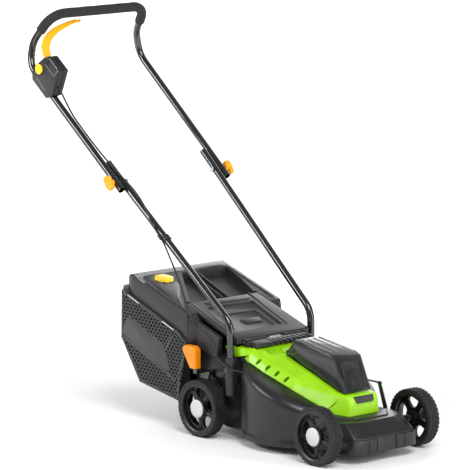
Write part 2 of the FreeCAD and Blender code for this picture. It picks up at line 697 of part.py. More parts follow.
def box_latch_bars():
    """Light bars of the clips that hold basket and top together."""
    bars = []
    for x0, x1 in ((-743, -696), (-602, -555)):
        start = (x0, BOX_RIM_HALF + 2.5, RIM_MIDDLE_REAR[1] - RIM_FALL * (x0 - RIM_MIDDLE_REAR[0]))
        end = (x1, BOX_RIM_HALF + 2.5, RIM_MIDDLE_REAR[1] - RIM_FALL * (x1 - RIM_MIDDLE_REAR[0]))
        bars += both(rod_between(2.4, start, end))
    return Part.makeCompound(bars)


FILL_CENTRE = (-690.0, -88.0)
FILL_HINGE_X = FILL_CENTRE[0] + 20.5
FILL_HINGE_Z = box_top(FILL_HINGE_X) + 2.5


def fill_flap():
    """Eight-sided fill indicator flap on a barrel hinge at its front edge."""
    cx, cy = FILL_CENTRE
    outline = [(cx + 20, cy - 14), (cx + 20, cy + 14), (cx + 8, cy + 30), (cx - 12, cy + 30),
               (cx - 20, cy + 14), (cx - 20, cy - 14), (cx - 12, cy - 30), (cx + 8, cy - 30)]
    flap = slab_z(outline, 0, 3)
    flap.rotate(Vec(cx, cy, 0), Vec(0, 1, 0), math.degrees(math.atan(FLAP_SLOPE)))
    flap.translate(Vec(0, 0, box_top(cx) + 1.0))
    barrel = rod_y(2.0, cy - 13.5, cy + 13.5, FILL_HINGE_X, FILL_HINGE_Z)
    pin = rod_y(1.0, cy - 18.5, cy + 18.5, FILL_HINGE_X, FILL_HINGE_Z)
    return fused([flap, barrel, pin])


def fill_hinge_lugs():
    """Two lugs on the box top that hold the ends of the indicator's hinge pin."""
    lugs = []
    for side in (-1, 1):
        y0, y1 = sorted((FILL_CENTRE[1] + side * 15.8, FILL_CENTRE[1] + side * 18.8))
        foot = box_top(FILL_HINGE_X)
        lug = box(FILL_HINGE_X - 0.7, FILL_HINGE_X + 3, y0, y1, foot - 3, foot + 4.6)
        lugs.append(lug.fuse(rod_y(2.1, y0, y1, FILL_HINGE_X + 0.9, FILL_HINGE_Z)))
    return [lug.cut(rod_y(1.1, -150, 0, FILL_HINGE_X, FILL_HINGE_Z)) for lug in lugs]


# ---- handle ---------------------------------------------------------------------------
def lower_tube(side):
    """Lower handle tube from its socket to past the fold."""
    foot = Vec(*TUBE_FOOT)
    bend = Vec(*TUBE_BEND)
    fold = Vec(FOLD_X, LOWER_FOLD_Y, FOLD_Z)
    top = fold + (fold - bend).normalize() * 70
    path = round_path([tuple(foot), tuple(bend), tuple(top)], [60])
    tube = pipe(path, TUBE_R, TUBE_WALL)
    tube = tube.cut(rod_y(BOLT_R, 140, 190, FOLD_X, FOLD_Z))
    return on_side(tube, side)


def handle_sockets():
    """Two moulded sockets that hold the lower tubes on the tunnel walls."""
    x, y, z = TUBE_FOOT
    sleeve = rod_z(14.5, 118, 216, x, y)
    web = box(x - 9, x + 9, TUNNEL_Y, 132, 118, 212)
    rib = box(x - 20, x + 13, TUNNEL_Y, 124, 122, 206)
    socket = fused([sleeve, web, rib]).cut(rod_z(TUBE_R, z, 230, x, y))
    socket = socket.cut(box(x - 30, x + 30, 110, LINK_Y + 5.5, 149, z - 2))
    socket = socket.cut(rod_y(BOLT_R, 100, 200, x, 184))
    return Part.makeCompound(both(socket))


def socket_bolts():
    """Two bolts through socket and tube."""
    x = TUBE_FOOT[0]
    shank = rod_y(BOLT_R, 124, 155.5, x, 184)
    head = rod_y(6, 155.5, 157.5, x, 184)
    return Part.makeCompound(both(fused([shank, head])))


def pierced_lower(tube):
    """Cross hole for the socket bolt."""
    x = TUBE_FOOT[0]
    return tube.cut(rod_y(BOLT_R, -170, 170, x, 184))


def upper_tube():
    """U-shaped upper handle."""
    p1, p2, p3 = GRIP_POINTS
    fold = Vec(FOLD_X, UPPER_FOLD_Y, FOLD_Z)
    away = (fold - Vec(*p1)).normalize()
    end = fold + away * 30
    half = [tuple(end), p1, p2, p3]
    points = half + [(x, -y, z) for x, y, z in reversed(half)]
    path = round_path(points, [60, 60, 52, 52, 60, 60])
    tube = pipe(path, TUBE_R, TUBE_WALL)
    return tube.cut(rod_y(BOLT_R + FIT, -220, 220, FOLD_X, FOLD_Z))


def foam_grip():
    """Foam sleeve over the bar and part of both legs."""
    p2 = Vec(*GRIP_POINTS[1])
    p3 = Vec(*GRIP_POINTS[2])
    end = p3 + (p2 - p3) * 0.62
    points = [tuple(end), tuple(p3), (p3.x, -p3.y, p3.z), (end.x, -end.y, end.z)]
    path = round_path(points, [52, 52])
    return pipe(path, FOAM_R, FOAM_R - TUBE_R)


def fold_bolts():
    """Two bolts through lower and upper tubes at the fold."""
    shank = rod_y(BOLT_R, 148, 209, FOLD_X, FOLD_Z)
    head = rod_y(6, 148, 152.5, FOLD_X, FOLD_Z)
    return Part.makeCompound(both(fused([shank, head])))


def wing_knob(side):
    """Three-lobed clamp knob on a fold bolt."""
    y0 = UPPER_FOLD_Y + TUBE_R + GAP
    hub = rod_y(9, y0, 218, FOLD_X, FOLD_Z)
    lobes = []
    for i in range(3):
        lobe = rod_y(6, y0 + 6, 216, FOLD_X + 14, FOLD_Z)
        arm = box(FOLD_X, FOLD_X + 14, y0 + 6, 216, FOLD_Z - 5, FOLD_Z + 5)
        lobe = fused([lobe, arm])
        lobe.rotate(Vec(FOLD_X, 0, FOLD_Z), Vec(0, 1, 0), 90 + 120 * i)
        lobes.append(lobe)
    knob = fused([hub] + lobes)
    return on_side(knob.cut(rod_y(BOLT_R + FIT, 190, 209.5, FOLD_X, FOLD_Z)), side)


# ---- switch box -----------------------------------------------------------------------
SWITCH_SIDE = [(-1046, 941), (-1027, 947), (-981, 911), (-1010, 842), (-1038, 832),
               (-1096, 877), (-1097, 899), (-1083, 917)]


def tube_passage():
    """Solid of the handle tube inside the switch box."""
    p1, p2, p3 = [(x, -y, z) for x, y, z in GRIP_POINTS]
    fold = Vec(FOLD_X, -UPPER_FOLD_Y, FOLD_Z)
    path = round_path([tuple(fold), p1, p2, p3], [60, 60])
    return pipe(path, TUBE_R)


def switch_half(y0, y1):
    """One half of the switch box, hollow behind its skin."""
    solid = plate_y(SWITCH_SIDE, y0, y1)
    centre = Vec(-1038, 0, 893)
    inner = []
    for x, z in SWITCH_SIDE:
        inner.append((centre.x + (x - centre.x) * 0.92, centre.z + (z - centre.z) * 0.92))
    hollow = plate_y(inner, y0 + (3 if y0 < SWITCH_SPLIT else 0), y1 - (0 if y0 < SWITCH_SPLIT else 3))
    return solid.cut(hollow)


def switch_box_outer():
    """Outer half of the switch box, with the start button's collar."""
    shell = switch_half(SWITCH_OUT, SWITCH_SPLIT)
    x, z = START_BUTTON
    collar = rod_y(16, SWITCH_OUT, SWITCH_OUT + 8, x, z).common(plate_y(SWITCH_SIDE, -260, -150))
    shell = fused([shell, collar])
    shell = shell.cut(rod_y(12.4, SWITCH_OUT - 5, SWITCH_OUT + 20, x, z))
    shell = shell.cut(tube_passage())
    shell = shell.cut(rod_between(CABLE_R + 0.3, CABLE_ROUTE[0], CABLE_ROUTE[1]))
    return max(shell.Solids, key=lambda solid: solid.Volume)


def switch_box_inner():
    """Inner half of the switch box, slotted for the lever."""
    shell = switch_half(SWITCH_SPLIT, SWITCH_IN)
    shell = shell.cut(tube_passage())
    shell = shell.cut(box(-1090, -1034, -188.5, SWITCH_IN - 3.5, 905, 960))
    shell = shell.cut(rod_between(CABLE_R + 0.3, CABLE_ROUTE[0], CABLE_ROUTE[1]))
    return max(shell.Solids, key=lambda solid: solid.Volume)


def lever_pin():
    """Pivot pin of the switch lever inside the box."""
    return rod_y(3, -204.9, -175.1, *LEVER_PIVOT)


def microswitch():
    """Small switch block that the button and lever work."""
    return box(-1040, -1018, -203, -191, 884, 900)


def switch_lever():
    """Dead man's lever: hub in the box, upright, and a bar along the grip."""
    hub = rod_y(7, -187, -177, *LEVER_PIVOT)
    route = [(LEVER_PIVOT[0], -182.0, LEVER_PIVOT[1]), (-1067.0, -181.0, 950.0),
             (-1081.0, -160.0, 986.0), (-1087.0, -118.0, 1012.0), (-1087.0, -58.0, 1028.0)]
    arm = pipe(round_path(route, [24, 30, 40]), 4.6)
    lever = fused([hub, arm])
    return lever.cut(rod_y(3 + FIT, -195, -170, *LEVER_PIVOT))


def start_button():
    """Round start button that presses into the box."""
    x, z = START_BUTTON
    return rod_y(12, SWITCH_OUT - 4.5, SWITCH_OUT + 10, x, z)


# ---- cable ----------------------------------------------------------------------------
def cable():
    """Switch cable from the switch box to the deck along the right handle tubes."""
    points = [Vec(*p) for p in CABLE_ROUTE]
    radii = []
    for a, b, c in zip(points, points[1:], points[2:]):
        turn = (b - a).getAngle(c - b)
        shorter = min((b - a).Length, (c - b).Length)
        radii.append(0.45 * shorter / math.tan(turn / 2))
    path = round_path(CABLE_ROUTE, radii)
    tube = pipe(path, CABLE_R)
    print("cable radii", " ".join("%.0f" % r for r in radii))
    print("cable length %.1f, volume ratio %.4f"
          % (path.Length, tube.Volume / (path.Length * math.pi * CABLE_R ** 2)))
    return tube


def cable_clip():
    """Moulded clip that ties the cable to the lower tube."""
    bend = Vec(*TUBE_BEND)
    fold = Vec(FOLD_X, LOWER_FOLD_Y, FOLD_Z)
    along = (fold - bend).normalize()
    middle = bend + (fold - bend) * ((-603.0 - bend.x) / (fold.x - bend.x))
    tube_axis = Vec(middle.x, -middle.y, middle.z)
    along.y = -along.y
    band = Part.makeCylinder(TUBE_R + 3, 14, tube_axis - along * 7, along)
    wing = Part.makeCylinder(CABLE_R + 2.5, 14, Vec(-606.5, -169.6, 502.6) - along * 3, along)
    clip = fused([band, wing])
    bore = Part.makeCylinder(TUBE_R, 40, tube_axis - along * 20, along)
    route = rod_between(CABLE_R + 0.2, CABLE_ROUTE[13], CABLE_ROUTE[14])
    route2 = rod_between(CABLE_R + 0.2, CABLE_ROUTE[12], CABLE_ROUTE[13])
    return clip.cut(bore).cut(route).cut(route2)


def main():
    """Build and write every piece."""
    os.makedirs("parts", exist_ok=True)
    deck_solid = deck()
    keep("deck", deck_solid)
    keep("axle_bushes", axle_bushes())
    keep("notch_rack", notch_rack())
    keep("front_axle", cranked_axle(CRANK_X))
    keep("rear_axle", rear_axle())
    keep("height_grip", height_grip())
    keep("link_rod", link_rod())
    for end, x in (("front", 0.0), ("rear", -WHEEL_BASE)):
        for hand, side in (("left", 1), ("right", -1)):
            keep("tyre_%s_%s" % (end, hand), tyre(x, side))
            keep("rim_%s_%s" % (end, hand), rim(x, side))
            keep("hub_cap_%s_%s" % (end, hand), hub_cap(x, side))
    keep("motor_can", motor_can())
    keep("motor_screws", motor_screws())
    keep("motor_bearings", motor_bearings())
    keep("rotor_shaft", rotor_shaft())
    keep("blade_carrier", blade_carrier())
    keep("cutting_blade", cutting_blade())
    keep("blade_bolt", blade_bolt())
    keep("motor_cover", motor_cover(deck_solid))
    keep("badge", badge())
    keep("battery_cradle", battery_cradle())
    keep("battery_pack", battery_pack())
    keep("battery_lid", battery_lid())
    keep("lid_hinge_pin", lid_hinge_pin())
    keep("controller", controller())
    keep("hinge_grille", hinge_grille())
    keep("rear_flap", rear_flap())
    keep("flap_hinge_rod", flap_hinge_rod())
    keep("flap_spring", flap_spring())
    keep("grass_box_shell", grass_box_shell())
    keep("grass_basket", grass_basket())
    keep("box_latch_bars", box_latch_bars())
    keep("fill_flap", fill_flap())
    keep("lower_tube_left", pierced_lower(lower_tube(1)))
    keep("lower_tube_right", pierced_lower(lower_tube(-1)))
    keep("handle_sockets", handle_sockets())
    keep("socket_bolts", socket_bolts())
    keep("upper_tube", upper_tube())
    keep("foam_grip", foam_grip())
    keep("fold_bolts", fold_bolts())
    keep("wing_knob_left", wing_knob(1))
    keep("wing_knob_right", wing_knob(-1))
    keep("switch_box_outer", switch_box_outer())
    keep("switch_box_inner", switch_box_inner())
    keep("lever_pin", lever_pin())
    keep("microswitch", microswitch())
    keep("switch_lever", switch_lever())
    keep("start_button", start_button())
    keep("cable", cable())
    keep("cable_clip", cable_clip())


main()
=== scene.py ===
"""Cordless rotary lawn mower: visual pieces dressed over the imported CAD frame."""

import json
import logging
import math
from dataclasses import dataclass, field
from enum import Enum
from typing import Any, ClassVar, Iterable, Optional, Sequence

import bmesh
import bpy
from mathutils import Matrix, Vector


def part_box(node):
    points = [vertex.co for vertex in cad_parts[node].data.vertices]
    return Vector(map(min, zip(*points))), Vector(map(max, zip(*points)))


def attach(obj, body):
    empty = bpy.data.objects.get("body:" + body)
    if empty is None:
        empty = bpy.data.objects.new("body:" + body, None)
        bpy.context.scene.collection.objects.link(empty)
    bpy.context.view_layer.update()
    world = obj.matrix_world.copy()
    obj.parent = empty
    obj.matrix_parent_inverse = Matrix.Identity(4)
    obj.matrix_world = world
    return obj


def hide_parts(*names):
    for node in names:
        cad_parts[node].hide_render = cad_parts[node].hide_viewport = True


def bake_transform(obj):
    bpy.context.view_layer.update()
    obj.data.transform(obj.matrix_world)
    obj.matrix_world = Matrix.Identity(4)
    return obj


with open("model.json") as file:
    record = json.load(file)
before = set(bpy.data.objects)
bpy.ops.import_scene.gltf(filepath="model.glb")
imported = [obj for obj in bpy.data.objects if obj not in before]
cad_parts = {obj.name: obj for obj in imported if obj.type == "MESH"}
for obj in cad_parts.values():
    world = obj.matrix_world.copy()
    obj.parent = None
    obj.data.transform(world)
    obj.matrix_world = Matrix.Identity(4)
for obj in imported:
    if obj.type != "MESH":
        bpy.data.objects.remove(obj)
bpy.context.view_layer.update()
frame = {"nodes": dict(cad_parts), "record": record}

LOG = logging.getLogger("mower")
Point = tuple[float, float, float]
Flat = tuple[float, float]
Colour = tuple[float, float, float]

MM = 0.001
FRONT_AXLE_X = 528.0
TO_FRAME = Matrix.Scale(MM, 4) @ Matrix.Translation((FRONT_AXLE_X, 0, 0))


def in_frame(point: Sequence[float]) -> Vector:
    """Turns a point in millimetres from the front axle into the frame's metres."""
    return TO_FRAME @ Vector(point)


def stood(name: str, data: Any) -> bpy.types.Object:
    """Makes an object from its data and puts it in the scene.

    Args:
        name: Its name.
        data: Its data.

    Returns:
        The object.
    """
    thing = bpy.data.objects.new(name, data)
    bpy.context.scene.collection.objects.link(thing)
    return thing


def evaluated(thing: bpy.types.Object) -> bpy.types.Mesh:
    """The mesh that an object has after its modifiers."""
    graph = bpy.context.evaluated_depsgraph_get()
    return bpy.data.meshes.new_from_object(thing.evaluated_get(graph))


class Axis(Enum):
    """The axis that a shape is pushed along or turned about."""

    X = (1, 0, 0)
    Y = (0, 1, 0)
    Z = (0, 0, 1)

    def point(self, u: float, v: float, w: float) -> Point:
        """The point that lies w along the axis and at (u, v) across it."""
        return {"X": (w, u, v), "Y": (u, w, v), "Z": (u, v, w)}[self.name]


class Cut(Enum):
    """What carving one form with another leaves."""

    AWAY = "DIFFERENCE"
    SHARED = "INTERSECT"


# ---- shader expressions -----------------------------------------------------
class Term:
    """A node socket that takes part in Python arithmetic."""

    def __init__(self, paint: "Paint", socket: Any) -> None:
        """Keeps the socket and the node tree that it belongs to."""
        self.paint = paint
        self.socket = socket

    def _math(self, operation: str, *values: Any) -> "Term":
        """Adds one Math node."""
        return self.paint.add("ShaderNodeMath", {"operation": operation}, *values)

    def __add__(self, other: Any) -> "Term":
        """Sum."""
        return self._math("ADD", self, other)

    def __radd__(self, other: Any) -> "Term":
        """Sum with the number on the left."""
        return self._math("ADD", other, self)

    def __sub__(self, other: Any) -> "Term":
        """Difference."""
        return self._math("SUBTRACT", self, other)

    def __rsub__(self, other: Any) -> "Term":
        """Difference with the number on the left."""
        return self._math("SUBTRACT", other, self)

    def __mul__(self, other: Any) -> "Term":
        """Product."""
        return self._math("MULTIPLY", self, other)

    def __rmul__(self, other: Any) -> "Term":
        """Product with the number on the left."""
        return self._math("MULTIPLY", other, self)

    def between(self, low: float, high: float) -> "Term":
        """Maps low to 0 and high to 1 smoothly, and holds outside.

        Args:
            low: The value that becomes 0.
            high: The value that becomes 1.

        Returns:
            The mapped value.
        """
        settings = {"interpolation_type": "SMOOTHSTEP"}
        return self.paint.add("ShaderNodeMapRange", settings, self, low, high, 0.0, 1.0)


class Paint:
    """Node tree of one material and the ways to add to it."""

    def __init__(self, name: str) -> None:
        """Starts a material with an empty node tree."""
        self.material = bpy.data.materials.new(name)
        self.material.use_nodes = True
        self.tree = self.material.node_tree
        self.tree.nodes.clear()
        self.out = self.tree.nodes.new("ShaderNodeOutputMaterial")

    def plug(self, socket: Any, value: Any) -> None:
        """Links a term or sets a number, colour or vector on an input socket.

        Args:
            socket: The input socket.
            value: A term, number, colour or vector.
        """
        if isinstance(value, Term):
            self.tree.links.new(value.socket, socket)
        elif isinstance(value, (tuple, list)) and len(value) == 3 and socket.type == "RGBA":
            socket.default_value = (*value, 1.0)
        else:
            socket.default_value = value

    def node(self, kind: str, settings: Optional[dict] = None, *values: Any, **named: Any) -> Any:
        """Makes one node.

        Args:
            kind: The node's type.
            settings: Its properties, set before its sockets; "stops" fills a ramp.
            values: Values or links of its first sockets that are in use, in order.
            named: Values or links of sockets by name, with _ for a space.

        Returns:
            The node.
        """
        made = self.tree.nodes.new(kind)
        for key, value in (settings or {}).items():
            if key == "stops":
                ramp = made.color_ramp.elements
                while len(ramp) < len(value):
                    ramp.new(0.5)
                for element, (position, colour) in zip(ramp, value):
                    element.position = position
                    element.color = (*colour, 1.0)
            else:
                setattr(made, key, value)
        sockets = [socket for socket in made.inputs if socket.enabled]
        for socket, value in zip(sockets, values):
            self.plug(socket, value)
        for key, value in named.items():
            self.plug(made.inputs[key.replace("_", " ")], value)
        return made

    def add(self, kind: str, settings: Optional[dict] = None, *values: Any, **named: Any) -> Term:
        """Makes one node and wraps its first output that is in use."""
        made = self.node(kind, settings, *values, **named)
        return Term(self, next(socket for socket in made.outputs if socket.enabled))

    def place(self) -> Term:
        """Object coordinates, which are the frame's own."""
        made = self.node("ShaderNodeTexCoord")
        return Term(self, made.outputs["Object"])

    def height(self) -> Term:
        """Height above the ground in metres."""
        split = self.node("ShaderNodeSeparateXYZ", None, self.place())
        return Term(self, split.outputs["Z"])

    def noise(self, scale: float, detail: float = 3.0, rough: float = 0.55,
              stretch: Optional[Point] = None) -> Term:
        """Noise over the object, about 0.5.

        Args:
            scale: Cells per metre.
            detail: Number of octaves.
            rough: Strength of the finer octaves.
            stretch: Scale along each axis, for brushed or drawn surfaces.

        Returns:
            The noise value.
        """
        where = self.place()
        if stretch:
            where = self.add("ShaderNodeMapping", {"vector_type": "POINT"}, where,
                             (0, 0, 0), (0, 0, 0), stretch)
        return self.add("ShaderNodeTexNoise", None, where, scale, detail, rough)

    def cells(self, scale: float) -> Term:
        """Distance to the nearest of a scatter of points."""
        return self.add("ShaderNodeTexVoronoi", None, self.place(), Scale=scale)

    def mix(self, mask: Any, low: Any, high: Any) -> Term:
        """Blends two colours by a mask.

        Args:
            mask: Share of the second colour.
            low: The colour where the mask is 0.
            high: The colour where the mask is 1.

        Returns:
            The value.
        """
        made = self.node("ShaderNodeMix", {"data_type": "RGBA"})
        self.plug(made.inputs[0], mask)
        self.plug(made.inputs[6], low)
        self.plug(made.inputs[7], high)
        return Term(self, made.outputs[2])

    def bump(self, height: Term, strength: float, depth: float, edge: float) -> Term:
        """Surface normal with a relief, over edges rounded by the edge radius.

        Args:
            height: The relief.
            strength: Share of the relief that shows.
            depth: Depth of the relief in metres.
            edge: Radius of the softened edges in metres, or 0 for none.

        Returns:
            The normal.
        """
        named = {"Strength": strength, "Distance": depth, "Height": height}
        if edge:
            named["Normal"] = self.add("ShaderNodeBevel", {"samples": 6}, edge)
        return self.add("ShaderNodeBump", None, **named)

    def surface(self, **named: Any) -> bpy.types.Material:
        """Ends the tree in one Principled shader with these sockets.

        Args:
            named: Values or links of sockets by name, with _ for a space.

        Returns:
            The material.
        """
        shader = self.node("ShaderNodeBsdfPrincipled", None, **named)
        self.tree.links.new(shader.outputs[0], self.out.inputs["Surface"])
        return self.material


def rgb(red: int, green: int, blue: int) -> Colour:
    """Linear colour of an 8-bit display colour.

    Args:
        red: Red, 0 to 255.
        green: Green, 0 to 255.
        blue: Blue, 0 to 255.

    Returns:
        The linear colour.
    """
    def linear(value: int) -> float:
        """One channel."""
        part = value / 255
        return part / 12.92 if part <= 0.04045 else ((part + 0.055) / 1.055) ** 2.4
    return linear(red), linear(green), linear(blue)


def shade(colour: Colour, factor: float) -> Colour:
    """A colour made darker or lighter."""
    return tuple(min(1.0, channel * factor) for channel in colour)


# ---- finishes -----------------------------------------------------------------
@dataclass(frozen=True)
class Finish:
    """What every finish has; the slot is named where it isn't the finish's own name."""

    name: str
    colour: Colour
    slot: str = field(default="", kw_only=True)


@dataclass(frozen=True)
class Moulded(Finish):
    """Injection-moulded plastic with a spark-eroded grain, flow marks and scuffs."""

    rough: float = 0.42
    grain: float = 1400.0
    depth: float = 0.00006
    edge: float = 0.0012
    dust: float = 0.0
    scuff: float = 0.35

    def make(self) -> bpy.types.Material:
        """Builds the material.

        Returns:
            The material.
        """
        p = Paint(self.name)
        cloud = p.noise(9.0, 4.0, 0.6)
        flow = p.noise(38.0, 3.0, 0.5, (1.0, 1.0, 0.35))
        tone = (cloud * 0.65 + flow * 0.35).between(0.30, 0.72)
        base = p.mix(tone, shade(self.colour, 0.88), shade(self.colour, 1.12))
        scratch = p.noise(210.0, 5.0, 0.7, (1.0, 0.12, 1.6)).between(0.66, 0.74)
        base = p.mix(scratch * self.scuff * 0.35, base, shade(self.colour, 1.9))
        rough = self.rough - 0.06 + cloud * 0.12 + scratch * self.scuff * 0.2
        if self.dust:
            low = 1 - p.height().between(0.01, 0.13)
            patch = p.noise(55.0, 6.0, 0.68).between(0.46, 0.70)
            film = low * patch * self.dust
            base = p.mix(film, base, rgb(126, 122, 108))
            rough = rough + film * 0.3
        pits = p.cells(self.grain) * 0.6 + p.noise(self.grain * 0.5, 2.0) * 0.8 + scratch * -0.6
        normal = p.bump(pits, 0.55, self.depth, self.edge)
        return p.surface(Base_Color=base, Roughness=rough, Normal=normal, IOR=1.5)


@dataclass(frozen=True)
class Coated(Finish):
    """Powder-coated or painted steel with a faint orange peel."""

    rough: float = 0.16
    peel: float = 420.0
    depth: float = 0.00005
    coat: float = 0.6

    def make(self) -> bpy.types.Material:
        """Builds the material.

        Returns:
            The material.
        """
        p = Paint(self.name)
        cloud = p.noise(14.0, 3.0)
        nick = p.noise(160.0, 6.0, 0.75).between(0.70, 0.76)
        base = p.mix(cloud, shade(self.colour, 0.8), shade(self.colour, 1.25))
        base = p.mix(nick * 0.5, base, rgb(92, 92, 94))
        rough = self.rough + cloud * 0.08 + nick * 0.3
        normal = p.bump(p.noise(self.peel, 2.0), 0.35, self.depth, 0.0)
        return p.surface(Base_Color=base, Roughness=rough, Normal=normal, IOR=1.55,
                         Coat_Weight=self.coat, Coat_Roughness=0.08)


@dataclass(frozen=True)
class Metal(Finish):
    """Bare or plated steel with drawing lines and light tarnish."""

    rough: float = 0.28
    stretch: Point = (1.0, 0.05, 1.0)

    def make(self) -> bpy.types.Material:
        """Builds the material.

        Returns:
            The material.
        """
        p = Paint(self.name)
        lines = p.noise(900.0, 3.0, 0.6, self.stretch)
        stain = p.noise(60.0, 5.0, 0.65).between(0.45, 0.75)
        base = p.mix(stain, self.colour, shade(self.colour, 0.62))
        rough = self.rough + lines * 0.16 + stain * 0.14
        normal = p.bump(lines, 0.25, 0.00003, 0.0005)
        return p.surface(Base_Color=base, Metallic=1.0, Roughness=rough, Normal=normal)


@dataclass(frozen=True)
class Soft(Finish):
    """Rubber or foam with open pores and a dusty bloom."""

    rough: float = 0.78
    pores: float = 900.0
    depth: float = 0.00035
    dust: float = 0.0

    def make(self) -> bpy.types.Material:
        """Builds the material.

        Returns:
            The material.
        """
        p = Paint(self.name)
        pore = p.cells(self.pores).between(0.15, 0.75)
        bloom = p.noise(24.0, 5.0, 0.62)
        base = p.mix(pore * 0.5 + bloom * 0.5, shade(self.colour, 0.6), shade(self.colour, 1.4))
        rough = self.rough + bloom * 0.12
        if self.dust:
            film = p.noise(70.0, 6.0, 0.7).between(0.44, 0.70) * self.dust
            base = p.mix(film, base, rgb(120, 115, 100))
        relief = pore + p.noise(self.pores * 0.4, 4.0) * 0.7
        normal = p.bump(relief, 0.7, self.depth, 0.0)
        return p.surface(Base_Color=base, Roughness=rough, Normal=normal, IOR=1.48)


@dataclass(frozen=True)
class Smoked(Finish):
    """Clear plastic with a smoke tint, hairline scratches and moulding ripple."""

    def make(self) -> bpy.types.Material:
        """Builds the material.

        Returns:
            The material.
        """
        p = Paint(self.name)
        hair = p.noise(260.0, 4.0, 0.7, (0.2, 1.0, 1.0)).between(0.62, 0.72)
        haze = p.noise(20.0, 3.0)
        base = p.mix(haze, shade(self.colour, 0.85), shade(self.colour, 1.15))
        rough = 0.06 + hair * 0.16 + haze * 0.05
        normal = p.bump(p.noise(30.0, 2.0) + hair * 0.1, 0.12, 0.0004, 0.0012)
        return p.surface(Base_Color=base, Roughness=rough, Normal=normal, IOR=1.45,
                         Transmission_Weight=0.92, Specular_IOR_Level=0.6)


BRIGHT = {"grain": 2200.0, "depth": 0.00003}
FINISHES = (
    Moulded("deck_plastic", rgb(22, 22, 24), 0.33, dust=0.05, depth=0.00009),
    Moulded("bush_plastic", rgb(30, 30, 31), 0.5),
    Moulded("green_plastic", rgb(146, 206, 4), 0.33, scuff=0.15, **BRIGHT),
    Moulded("dark_plastic", rgb(32, 32, 34), 0.40, depth=0.00008),
    Moulded("basket_plastic", rgb(52, 52, 54), 0.42, dust=0.03),
    Moulded("light_trim", rgb(196, 197, 198), 0.38),
    Moulded("yellow_plastic", rgb(250, 205, 12), 0.34, **BRIGHT),
    Moulded("amber_plastic", rgb(246, 138, 0), 0.33, **BRIGHT),
    Moulded("badge_plastic", rgb(58, 60, 58), 0.3),
    Moulded("battery_plastic", rgb(20, 20, 21), 0.4),
    Moulded("controller_plastic", rgb(30, 32, 34), 0.5),
    Moulded("knob_plastic", rgb(250, 165, 6), 0.34),
    # Strong scuff: the light streaks are wear, and also a painted highlight standing for the case's
    # lit edges.
    Moulded("switch_plastic", rgb(17, 18, 19), 0.36, scuff=0.6),
    Moulded("wheel_plastic", rgb(16, 16, 17), 0.34, dust=0.03),
    Moulded("white_cap", rgb(196, 198, 200), 0.42, grain=1800.0, depth=0.00004),
    Coated("black_paint", rgb(10, 10, 11), 0.12),
    Coated("black_steel", rgb(26, 26, 28), 0.3),
    Metal("plated_steel", rgb(196, 198, 202)),
    Metal("motor_metal", rgb(150, 152, 156), 0.36),
    Metal("bearing_steel", rgb(186, 188, 192), 0.2),
    Metal("blade_steel", rgb(120, 122, 126), 0.34, (0.05, 1.0, 1.0)),
    Smoked("smoked_clear", rgb(104, 108, 106)),
    Moulded("lever_plastic", rgb(246, 172, 4), 0.34, **BRIGHT, slot="yellow_plastic"),
    Moulded("release_plastic", rgb(120, 52, 38), 0.4, slot="battery_plastic"),
    # Painted shade: a darker copy of the basket plastic, for the sheet seen through the basket's
    # holes.
    Moulded("liner_plastic", rgb(15, 15, 16), 0.7, slot="basket_plastic"),
    # Painted highlight: a pale copy of the dark plastic, for strips along lit edges.
    Moulded("rim_plastic", rgb(132, 133, 135), 0.38, depth=0.00006, slot="dark_plastic"),
    Soft("foam", rgb(34, 34, 35), 0.82, 1300.0, 0.0004),
    Soft("cable_rubber", rgb(26, 26, 28), 0.5, 1600.0, 0.00006),
    Soft("tyre_rubber", rgb(22, 22, 23), 0.62, 1500.0, 0.0001, dust=0.05),
)


class Stock:
    """The finishes by name, each made once."""

    painted: ClassVar[dict[str, str]] = {"notch_rack": "black_steel",
                                         "socket_bolts": "black_steel"}

    def __init__(self) -> None:
        """Makes every material."""
        self.by_name: dict[str, bpy.types.Material] = {}
        for finish in FINISHES:
            material = finish.make()
            material["slot"] = finish.slot or finish.name
            self.by_name[finish.name] = material

    def __getitem__(self, name: str) -> bpy.types.Material:
        """One material."""
        return self.by_name[name]

    def dress_cad(self) -> None:
        """Puts each CAD node's finish on its material slots."""
        for part in frame["record"]["subparts"]:
            node = frame["nodes"].get(part["node"])
            if node is None:
                continue
            finish = self.by_name[self.painted.get(part["node"], part["material_slot"])]
            node.data.materials.clear()
            node.data.materials.append(finish)


